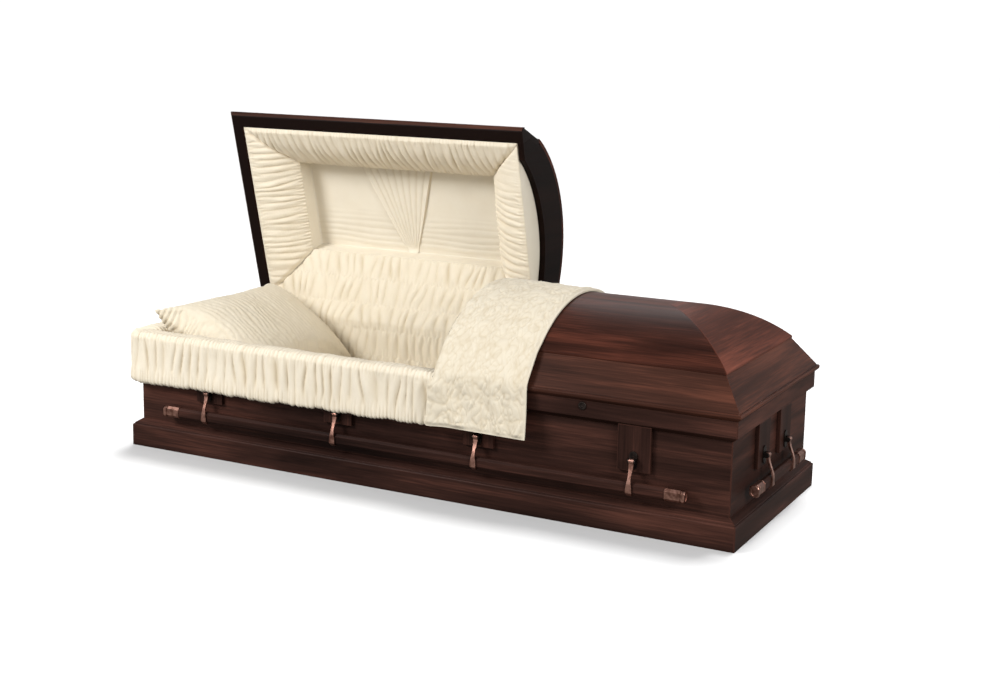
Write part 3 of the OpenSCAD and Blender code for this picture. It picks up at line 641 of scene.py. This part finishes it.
def tray(name, x_out, place, body, pleats):
    """The sunk panel and the step round it, in one sheet.

    The step rises from the border's inner edge, and pleats, from 0 to 1, is how deep the panel's pleats are.
    """
    x0, x1, v0, v1 = x_out[0] + BORDER, x_out[1] - BORDER, *V_IN
    nx, nv, nw = 150, 90, 9
    rise = np.linspace(0, 1, nw)[:-1]
    gx = np.r_[np.zeros(nw - 1), np.linspace(0, 1, nx), np.ones(nw - 1)]
    gv = np.r_[np.zeros(nw - 1), np.linspace(0, 1, nv), np.ones(nw - 1)]
    lx = np.r_[rise, np.ones(nx), rise[::-1]]
    lv = np.r_[rise, np.ones(nv), rise[::-1]]
    u, v = np.meshgrid(gx, gv, indexing="ij")
    level = np.minimum(lx[:, None], lv[None, :])
    w = BORDER_W - 0.003 + (PANEL_W - BORDER_W + 0.003) * level
    xx = x0 - 0.004 + (x1 - x0 + 0.008) * u
    vv = v0 - 0.004 + (v1 - v0 + 0.008) * v
    flat = level >= 1
    lower = ease((0.5 - v) / 0.3)
    line = np.abs(np.sin(math.pi * (vv / 0.021 + 0.35 * noise(xx / 0.2, vv / 0.05, 31)))) ** 0.6
    soft = 0.0016 * noise(xx / 0.12, vv / 0.07, 33)
    from_edges = ease(np.minimum(u, 1 - u) * 14) * ease(np.minimum(v, 1 - v) * 14)
    w = w - flat * (pleats * 0.0024 * lower * line + soft) * from_edges
    # Painted shade along the pleat lines in the panel's lower half.
    pleat_shade = flat * pleats * lower * (1 - line) ** 2 * 0.35
    return put(grid_object(name, place(xx, vv, w), pleat_shade), body, smooth_cloth, "crepe_fabric")


def fan(x_mid, place):
    """The pleated fan in the middle of the head lid's panel, which climbs its step and then spreads."""
    nu, nv = 190, 70
    foot_half, top_half, lean = 0.018, 0.158, 0.032
    u, t = np.meshgrid(np.linspace(-1, 1, nu), np.linspace(0, 1, nv), indexing="ij")
    v0, v1 = V_IN[0], V_IN[1] + 0.002
    step = 0.16
    climb = ease(t / step)
    v = np.clip((t - step * 0.8) / (1 - step * 0.8), 0, 1)
    half = foot_half + (top_half - foot_half) * v ** 0.95
    middle = x_mid - lean * v
    pleat = np.abs(np.sin(math.pi * (u + 1) * 4.5 + 0.4 * noise(u * 4, v * 2, 41)))
    thick = (0.0035 + 0.0045 * pleat ** 0.7 * (0.45 + 0.55 * v)) * ease((1 - np.abs(u)) / 0.05) + 0.0006
    thick = (thick + 0.003 * np.exp(-((np.abs(u) - 0.96) / 0.03) ** 2)) * ease((t - 0.12) / 0.1)
    w = BORDER_W - 0.004 + (PANEL_W - BORDER_W + 0.004) * climb - thick * climb
    foot = v0 - 0.0034 * (1 - ease(v / 0.04))
    p = place(middle + u * half, foot + (v1 - v0) * v + thick * (1 - climb), w)
    # Painted shade in the pleats' hollows and along the fan's raised edges.
    pleat_shade = (1 - pleat) ** 1.8 * 0.45 + 0.55 * np.exp(-((np.abs(u) - 0.985) / 0.02) ** 2)
    pleat_shade = pleat_shade * ease((t - 0.13) / 0.12)
    obj = put(grid_object("head_lid_fan", p, pleat_shade), "head_lid", smooth_cloth, "crepe_fabric")


def side_strip(name, x, place, body):
    """The flat cloth on the lining's side, which shows through the arch of the board at the cut."""
    nv, nw = 60, 8
    t, w = np.meshgrid(np.linspace(-1, 1, nv), np.linspace(0.0025, 0.108, nw), indexing="ij")
    v = HINGE_Y + t * (V_OUT[1] - 0.004 - HINGE_Y - 0.85 * np.maximum(w - 0.045, 0))
    back = 1 if body == "foot_lid" else -1
    bow = 0.0012 * noise(v / 0.09, w / 0.05, 51) + 0.0045 * ease((0.02 - w) / 0.018)
    obj = put(grid_object(name, place(x + bow * back, v, w)), body, smooth_cloth, "crepe_fabric")


def lid_linings():
    head_x = (-INNER_X + 0.004, HEAD_CUT - HEADER_T - 0.004)
    inside = open_lid(0, 0, -1.0) - open_lid(0, 0, 0.0)
    piece = border("head_lid_border_far", "far", head_x, open_lid, inside, 61, pitch=0.027, depth=0.009)
    border("head_lid_border_head", "low_x", head_x, open_lid, inside, 62, pitch=0.025, depth=0.0075)
    border("head_lid_border_foot", "high_x", head_x, open_lid, inside, 63, pitch=0.026, depth=0.0085)
    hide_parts("head_lid_lining")
    panel = tray("head_lid_panel", head_x, open_lid, "head_lid", pleats=1.0)
    fan(-0.465, open_lid)
    side_strip("head_lid_side", HEAD_CUT - HEADER_T - 0.0008, open_lid, "head_lid")
    foot_x = (FOOT_CUT + HEADER_T + 0.004, INNER_X - 0.004)
    below = np.array([0, 0, -1.0])
    piece = border("foot_lid_border_front", "far", foot_x, closed_lid, below, 71, body="foot_lid")
    border("foot_lid_border_back", "near", foot_x, closed_lid, below, 72, body="foot_lid")
    for name, side, seed in (("foot_lid_border_cut", "low_x", 73), ("foot_lid_border_foot", "high_x", 74)):
        border(name, side, foot_x, closed_lid, below, seed, pitch=0.026, depth=0.0085, body="foot_lid")
    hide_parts("foot_lid_lining")
    panel = tray("foot_lid_panel", foot_x, closed_lid, "foot_lid", pleats=0.0)
    side_strip("foot_lid_side", FOOT_CUT + HEADER_T + 0.0008, closed_lid, "foot_lid")


# ------------ the lining of the walls
# The distance between the seams that hold the gathers.
ROW = 0.092


def wall_lining():
    """Gathered cloth round the inside of the walls, from behind the apron round the foot, front and head."""
    x1, y1 = LINING_X, LINING_Y
    r, fullness = 0.02, 1.15
    foot_end = [(x1 - r, y1), (x1, y1 - r), (x1, r - y1), (x1 - r, -y1)]
    head_end = [(r - x1, -y1), (-x1, r - y1), (-x1, y1 - r), (r - x1, y1)]
    path, s = along([(HEAD_CUT - HEADER_T, y1), *foot_end, *head_end], 1500)
    profile, t = along([(0.0, 0.11), (0.0, 0.34), (0.0, LINING_TOP - 0.006), (0.004, LINING_TOP - 0.001),
                        (0.011, LINING_TOP - 0.001)], 56)
    tangent = np.gradient(path, axis=0)
    tangent /= np.linalg.norm(tangent, axis=1, keepdims=True)
    out = np.stack([-tangent[:, 1], tangent[:, 0]], axis=1)
    sg = np.broadcast_to(s[:, None], (len(s), len(t)))
    z = np.broadcast_to(profile[None, :, 1], sg.shape)
    off = np.broadcast_to(profile[None, :, 0], sg.shape)
    h, valley = folds(sg, LINING_TOP - z + 0.002, pitch=0.036, row=ROW, depth=0.009, seed=81)
    h *= ease((LINING_TOP - z) / 0.02)
    p = np.empty((*sg.shape, 3))
    p[..., :2] = path[:, None, :] + (off - h - 0.0006)[..., None] * out[:, None, :]
    p[..., 2] = z
    obj = put(grid_object("wall_lining", p, valley), "casket", crepe_cloth, "crepe_fabric", "body_lining")


def apron():
    """The gathered cloth from inside the back wall over the hinges and up the open lid's near border."""
    x_out = (-INNER_X + 0.004, HEAD_CUT - HEADER_T - 0.004)
    rail = open_lid(0, V_OUT[0], 0.004)[1:]
    inner = open_lid(0, V_IN[0], BORDER_W)[1:]
    up_wall = [(LINING_Y - 0.001, 0.125), (LINING_Y - 0.001, 0.33), (LINING_Y, 0.362),
               (LINING_Y + 0.012, 0.38)]
    up_lid = [rail - [0.008, 0], rail + (inner - rail) * 0.3 - [0.004, 0], inner]
    profile, t = along(up_wall + up_lid, 190)
    rail_t = t[np.argmin(np.abs(profile[:, 1] - rail[1]))]
    a = np.clip((t - rail_t) / (t[-1] - rail_t), 0, 1)
    nu = 330
    u = np.linspace(0, 1, nu)
    below_rail = -LINING_X + 0.004 + (x_out[0] + LINING_X - 0.004) * ease((t - 0.2) / 0.06)
    lo = np.where(a > 0, x_out[0] + BORDER * a, below_rail)
    hi = x_out[1] - BORDER * a
    x = lo[None, :] + (hi - lo)[None, :] * u[:, None]
    p = np.stack(np.broadcast_arrays(x, profile[:, 0], profile[:, 1]), axis=-1)
    n = normals(p, (0, -1, 0.2))
    tg = np.broadcast_to(t[-1] - t[None, :], x.shape)
    wavy_x = x + 0.012 * noise(x / 0.3, tg / 0.3, 90)
    h, valley = folds(wavy_x, tg + 0.003, pitch=0.038, row=ROW, depth=0.0105, seed=91)
    h += 0.0016 * rough_noise(x / 0.018, tg / 0.06, 95) + 0.004 * np.sin(math.pi * np.clip(a, 0, 1))[None, :]
    end = np.minimum(u, 1 - u)[:, None] * (hi - lo)[None, :]
    h *= 0.3 + 0.7 * ease(end / 0.02)
    obj = put(grid_object("back_apron", p + n * h[..., None], valley), None, throw_cloth, "crepe_fabric",
              "apron")
    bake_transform(obj)


def foot_apron():
    """The strip folded behind the closed foot lid's lining, which covers its hinges as that lid opens."""
    x = np.linspace(FOOT_CUT + HEADER_T + 0.006, INNER_X - 0.012, 260)
    profile, t = along([(LINING_Y - 0.0015, 0.347), (LINING_Y - 0.006, 0.358), (LINING_Y - 0.014, 0.366),
                        (LINING_Y - 0.009, 0.374), (LINING_Y - 0.006, 0.381)], 24)
    xg, tg = np.meshgrid(x, t, indexing="ij")
    h, valley = folds(xg, tg + 0.02, pitch=0.03, row=0.11, depth=0.003, seed=97)
    p = np.stack(np.broadcast_arrays(xg, profile[:, 0] - h, profile[:, 1]), axis=-1)
    obj = put(grid_object("foot_apron", p, valley), None, crepe_cloth, "crepe_fabric")
    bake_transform(obj)


# ------------ the throw over the foot lid
def throw():
    """The quilted cloth over the head end of the foot lid, and the part of it that hangs down in front."""
    hem_x, flap_top = 0.418, 0.3795
    crown_radius, crown_z = 0.4299, 0.1746
    hanging_part = [(-0.391, 0.233), (-0.3865, 0.262), (-0.3805, 0.32), (-0.378, 0.37)]
    slope = [(-0.377, 0.392), (-0.37, 0.401), (-0.333, 0.449), (-0.306, 0.4835)]
    arc = [(y, crown_z + math.sqrt((crown_radius + 0.001) ** 2 - y * y))
           for y in np.arange(-0.299, 0.25, 0.0498)]
    profile, t = along(hanging_part + slope + arc + [(0.302, 0.478), (0.318, 0.462)], 430)
    out = np.gradient(profile, axis=0)
    out /= np.linalg.norm(out, axis=1, keepdims=True)
    out = np.stack([-out[:, 1], out[:, 0]], axis=1)
    width = hem_x - FOOT_CUT
    nu, turned = 160, 7
    s = np.r_[np.linspace(0, width, nu), np.full(turned, width)]
    tuck = np.r_[np.zeros(nu), np.linspace(0, 1, turned + 1)[1:]]
    sg, tg = np.meshgrid(s, t, indexing="ij")
    tuck = tuck[:, None] * np.ones_like(sg)
    round_left = np.sqrt(np.clip(1 - (1 - np.clip(sg / 0.016, 0, 1)) ** 2, 0, 1))
    inside = ease((width - sg) / 0.014) * ease(tg / 0.014)
    drift = 0.9 * noise(sg / 0.05, tg / 0.04, 101)
    cell = np.abs(noise((sg + 0.3 * tg) / 0.0095 + drift, (tg - 0.3 * sg) / 0.022, 102))
    other = np.abs(noise((sg - 0.45 * tg) / 0.014, (tg + 0.45 * sg) / 0.036, 103))
    swell = noise(sg / 0.085, tg / 0.12, 104)
    wander = 2.5 * noise(sg / 0.09, tg / 0.2, 105)
    broad = np.cos(2 * math.pi * (sg + 0.25 * tg) / 0.075 + wander) * ease((0.3 - tg) / 0.2)
    lift = 0.0045 + 0.0055 * round_left
    lift += inside * (0.0026 * cell ** 0.8 + 0.0028 * other ** 0.8 + 0.004 * swell + 0.0025 * broad)
    lift -= 0.0032 * (1 - inside)
    lift = lift * round_left - 0.0005 * (1 - round_left)
    lift = lift * (1 - tuck) + 0.0012 * tuck
    from_cut = np.clip(sg / width, 0, 1)
    sway = 0.004 * noise(tg / 0.2, 0 * tg, 106) * from_cut ** 2
    p = np.empty((*sg.shape, 3))
    p[..., 0] = FOOT_CUT + sg + sway + 0.0004 - tuck * 0.001
    p[..., 1] = profile[None, :, 0] + lift * out[None, :, 0]
    raised = 0.004 * (1 - from_cut) * ease((0.08 - tg) / 0.08)
    p[..., 2] = profile[None, :, 1] + lift * out[None, :, 1] + raised
    valley = inside * (0.35 * np.clip(1 - cell / 0.35, 0, 1) + 0.35 * np.clip(1 - other / 0.28, 0, 1))
    hanging = ease((0.386 - p[..., 2]) / 0.03) * ease((0.06 - sg) / 0.06)
    p[..., 0] -= 0.013 * hanging
    p[..., 1] -= 0.011 * hanging * round_left + 0.006 * hanging
    cut = int(np.argmin(np.abs(profile[:, 1] - flap_top)[:len(t) // 3]))
    upper = put(grid_object("throw_cloth", p[:, cut:], valley[:, cut:]), "foot_lid", throw_cloth,
                "crepe_fabric", "throw")
    flap = put(grid_object("throw_flap_cloth", p[:, :cut + 1], valley[:, :cut + 1]), "foot_lid", throw_cloth,
               "crepe_fabric", "throw_flap")
    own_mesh(flap)


# ------------ padded pieces
def evaluated(obj):
    """A mesh of the object with its modifiers applied."""
    bpy.context.view_layer.update()
    return bpy.data.meshes.new_from_object(obj.evaluated_get(bpy.context.evaluated_depsgraph_get()))


def coordinates(mesh):
    co = np.empty(len(mesh.vertices) * 3)
    mesh.vertices.foreach_get("co", co)
    return co.reshape(-1, 3)


def inflate(obj, voxel, pressure, cap, frames=20):
    """Swells a closed mesh with a cloth simulation, in which no point moves more than the cap."""
    remesh = obj.modifiers.new("voxels", "REMESH")
    remesh.mode = "VOXEL"
    remesh.voxel_size = voxel
    mesh = evaluated(obj)
    obj.modifiers.clear()
    obj.data = mesh
    start = coordinates(mesh)
    cloth = obj.modifiers.new("cloth", "CLOTH")
    cloth.settings.use_pressure = True
    cloth.settings.uniform_pressure_force = pressure
    cloth.settings.effector_weights.gravity = 0
    cloth.settings.quality = 4
    for f in range(1, frames + 1):
        bpy.context.scene.frame_set(f)
    swollen = evaluated(obj)
    obj.modifiers.clear()
    moved = coordinates(swollen) - start
    far = np.linalg.norm(moved, axis=1, keepdims=True)
    moved *= np.minimum(1, cap / np.maximum(far, 1e-9))
    mesh.vertices.foreach_set("co", (start + moved).ravel())
    mesh.update()
    bpy.context.scene.frame_set(1)


def subdivided(obj):
    m = obj.modifiers.new("smoother", "SUBSURF")
    m.levels = m.render_levels = 1
    mesh = evaluated(obj)
    obj.modifiers.clear()
    obj.data = mesh
    mesh.polygons.foreach_set("use_smooth", [True] * len(mesh.polygons))


def displaced(obj, height):
    """Moves each vertex along its normal by height(points, normals)."""
    mesh = obj.data
    co = coordinates(mesh)
    n = np.empty(len(mesh.vertices) * 3)
    mesh.vertices.foreach_get("normal", n)
    n = n.reshape(-1, 3)
    co += n * height(co, n)[:, None]
    mesh.vertices.foreach_set("co", co.ravel())
    mesh.update()


def pillow_shape(length, width, thick):
    """A cushion in its own frame: two crowned sheets that meet in a seam, with drawn-out corners."""
    nu, nv = 44, 56
    u, v = np.meshgrid(np.linspace(-1, 1, nu), np.linspace(-1, 1, nv), indexing="ij")
    fall = (np.clip(1 - np.abs(u) ** 2.6, 0, 1) * np.clip(1 - np.abs(v) ** 3.0, 0, 1)) ** 0.5
    pull = 0.05 * (1 - np.abs(v) ** 2) * np.abs(u) ** 3
    pull_v = 0.035 * (1 - np.abs(u) ** 2) * np.abs(v) ** 3
    x = length / 2 * u * (1 - pull)
    y = width / 2 * v * (1 - pull_v)
    drawn = (np.abs(u) * np.abs(v)) ** 5
    x, y = x + 0.03 * np.sign(u) * drawn, y + 0.016 * np.sign(v) * drawn
    top = np.stack([x, y, thick * 0.51 * fall], axis=-1)
    low = np.stack([x, y, -thick * 0.49 * fall], axis=-1)
    edge = (np.abs(u) == 1) | (np.abs(v) == 1)
    index = np.arange(nu * nv).reshape(nu, nv)
    low_index = np.where(edge, index, index + nu * nv)
    used = {}
    points = list(top.reshape(-1, 3))
    for i in range(nu):
        for j in range(nv):
            if not edge[i, j]:
                used[int(low_index[i, j])] = len(points)
                points.append(low[i, j])
    faces = grid_faces(nu, nv)

    def low_at(i, j):
        k = int(low_index[i, j])
        return used.get(k, k)

    for i in range(nu - 1):
        for j in range(nv - 1):
            faces.append((low_at(i, j), low_at(i, j + 1), low_at(i + 1, j + 1), low_at(i + 1, j)))
    return np.array(points), faces


def pillow():
    """A cushion on the bed's raised end, with long wrinkles and a ruffled rim."""
    length, width, thick = 0.43, 0.61, 0.2
    points, faces = pillow_shape(length, width, thick)
    tilt = math.radians(33)
    place = Matrix.Translation((-0.803, 0, 0.325)) @ Matrix.Rotation(tilt, 4, "Y")
    points = np.array([place @ Vector(p) for p in points])
    obj = mesh_object("pillow_cushion", points, faces)
    inflate(obj, voxel=0.007, pressure=4.0, cap=0.014)
    subdivided(obj)
    centre = np.array(place.translation)
    axis_x = np.array(place.to_3x3() @ Vector((1, 0, 0)))
    crinkle_shade = []

    def crinkles(co, _):
        lx, ly = (co - centre) @ axis_x, co[:, 1]
        line = np.abs(np.cos(math.pi * (ly / 0.019 + 0.8 * noise(lx / 0.07, ly / 0.05, 121)))) ** 0.8
        middle = np.exp(-((lx + 0.02) / 0.15) ** 2 - ((ly + 0.07) / 0.2) ** 2)
        drawn = middle * (0.6 + 0.4 * noise(lx / 0.05, ly / 0.03, 122))
        rim = np.clip(np.maximum(np.abs(lx) / (length / 2), np.abs(ly) / (width / 2)), 0, 1.05)
        ruffle = np.abs(np.cos(math.pi * ((lx + ly) / 0.02 + noise(lx / 0.04, ly / 0.04, 123))))
        edge = ease((rim - 0.82) / 0.14)
        crepe = noise(lx / 0.012, ly / 0.009, 124)
        crinkle_shade.append((1 - edge) * drawn * (1 - line) ** 1.3 * 0.8 + edge * (1 - ruffle) ** 1.4 * 0.5)
        return (0.0042 * line * drawn + 0.0008 * crepe) * (1 - edge) + 0.0042 * ruffle * edge

    displaced(obj, crinkles)
    # Painted shade in the pillow's wrinkles and along its ruffled rim.
    set_fold_shade(obj, crinkle_shade[0])
    put(obj, "casket", throw_cloth, "crepe_fabric", "pillow")
    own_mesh(obj)


def mattress():
    """The bed, with its head end raised, and shallow quilting."""
    low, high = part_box("mattress")
    inset, cell = 0.004, 0.2
    x0, x1, y1 = low.x + inset, high.x - inset, high.y - inset
    flat_z, head_z = BED_Z - 0.002, high.z - 0.016
    slope_end = x0 + BED_RAISE
    top = [(x1, flat_z - 0.011), (x1 - 0.02, flat_z), (slope_end + 0.02, flat_z),
           (slope_end - 0.02, flat_z + 0.004), (x0 + 0.02, head_z), (x0, head_z - 0.012)]
    outline = [(x0, 0.02), (x1, 0.02)] + top
    points = [(x, s * y1, z) for s in (-1, 1) for x, z in outline]
    k = len(outline)
    faces = [tuple(range(k)), tuple(range(2 * k - 1, k - 1, -1))]
    faces += [(i, i + k, (i + 1) % k + k, (i + 1) % k) for i in range(k)]
    obj = mesh_object("bed", points, faces)
    inflate(obj, voxel=0.022, pressure=3.0, cap=0.006, frames=12)
    subdivided(obj)

    def quilting(co, normal):
        up = np.clip(normal[:, 2], 0, 1)
        seam = np.minimum(np.abs(np.sin(math.pi * co[:, 0] / cell)),
                          np.abs(np.sin(math.pi * (co[:, 1] + cell / 2) / cell)))
        return up * (0.004 * seam ** 0.5 - 0.004)

    displaced(obj, quilting)
    co = coordinates(obj.data)
    co[:, 1] = np.clip(co[:, 1], low.y, high.y)
    co[:, 0] = np.clip(co[:, 0], low.x, high.x)
    co[:, 2] = np.maximum(co[:, 2], low.z)
    obj.data.vertices.foreach_set("co", co.ravel())
    obj.data.update()
    put(obj, "casket", bed_cloth, "bed_fabric", "mattress")


skirt()
lid_linings()
wall_lining()
apron()
foot_apron()
throw()
pillow()
mattress()


# ------------ camera, light and floor
def camera():
    """A camera that looks at the front and the foot end; its angles are in radians."""
    place = Vector((2.3522, -4.2873, 1.4418))
    yaw, pitch, roll = 0.4852, -0.1827, 0.0169
    ahead = Vector((-math.sin(yaw) * math.cos(pitch), math.cos(yaw) * math.cos(pitch), math.sin(pitch)))
    right = Vector((math.cos(yaw), math.sin(yaw), 0))
    up = right.cross(ahead)
    across = math.cos(roll) * right + math.sin(roll) * up
    upright = -math.sin(roll) * right + math.cos(roll) * up
    data = bpy.data.cameras.new("camera")
    data.lens = 56.19
    data.sensor_width = 36
    data.shift_x = 0.0107
    data.shift_y = -0.0397
    data.clip_end = 100
    obj = bpy.data.objects.new("camera", data)
    turn = Matrix((across, upright, -ahead)).transposed().to_4x4()
    obj.matrix_world = Matrix.Translation(place) @ turn
    bpy.context.scene.collection.objects.link(obj)
    bpy.context.scene.camera = obj


def lamp(name, place, aim, size, power):
    data = bpy.data.lights.new(name, "AREA")
    data.shape = "RECTANGLE"
    data.size, data.size_y = size
    data.energy = power
    obj = bpy.data.objects.new(name, data)
    obj.location = place
    obj.rotation_euler = (Vector(aim) - Vector(place)).to_track_quat("-Z", "Y").to_euler()
    bpy.context.scene.collection.objects.link(obj)


def surroundings():
    """A pale ring of light at the horizon, dimmer above and below."""
    world = bpy.data.worlds.new("studio")
    world.use_nodes = True
    tree = world.node_tree
    coords = new(tree, "ShaderNodeTexCoord")
    height = new(tree, "ShaderNodeSeparateXYZ")
    link(tree, coords.outputs["Generated"], height.inputs["Vector"])
    share = new(tree, "ShaderNodeMath", operation="MULTIPLY_ADD")
    link(tree, height.outputs["Z"], share.inputs[0])
    share.inputs[1].default_value = share.inputs[2].default_value = 0.5
    below, level, above = (0.27, 0.26, 0.245), (1.08, 1.08, 1.08), (0.3, 0.3, 0.305)
    link(tree, ramp(tree, share.outputs[0], [(0.46, below), (0.475, level), (0.515, level), (0.63, above)]),
         tree.nodes["Background"].inputs["Color"])
    bpy.context.scene.world = world


def white_floor():
    """A floor that diffuse and glossy rays don't see, so it throws no light back on the casket."""
    half = 40
    corners = [(-half, -half, 0), (half, -half, 0), (half, half, 0), (-half, half, 0)]
    floor = mesh_object("floor", corners, [(0, 1, 2, 3)], False)
    mat, tree, shader = node_material("floor_white")
    spots = new(tree, "ShaderNodeTexNoise", Scale=3.0, Detail=2.0)
    link(tree, ramp(tree, spots.outputs["Fac"], [(0.0, (0.6, 0.6, 0.6)), (1.0, (0.63, 0.63, 0.63))]),
         shader.inputs["Base Color"])
    shader.inputs["Roughness"].default_value = 0.9
    floor.data.materials.append(mat)
    floor.visible_diffuse = floor.visible_glossy = False
    return floor


def overhead_sun(floor):
    """A broad sun that lights the floor alone, so that it is white, with the casket's soft shadow."""
    overhead = bpy.data.lights.new("overhead", "SUN")
    overhead.energy = 4.7
    overhead.angle = math.radians(30)
    obj = bpy.data.objects.new("overhead", overhead)
    obj.rotation_euler = Vector((0, -1.4, -3.0)).to_track_quat("-Z", "Y").to_euler()
    bpy.context.scene.collection.objects.link(obj)
    lit = bpy.data.collections.new("lit_by_overhead")
    lit.objects.link(floor)
    obj.light_linking.receiver_collection = lit


camera()
bpy.context.scene.view_settings.view_transform = "Standard"
surroundings()
ground = white_floor()
lamp("key", (-2.3, -3.1, 2.85), aim=(-0.2, 0, 0.35), size=(1.5, 1.5), power=160)
lamp("side", (3.7, -1.7, 2.2), aim=(0.7, 0, 0.35), size=(1.2, 1.6), power=90)
lamp("behind", (-1.0, 3.2, 3.2), aim=(-0.2, 0, 0.35), size=(2.2, 1.4), power=40)
overhead_sun(ground)
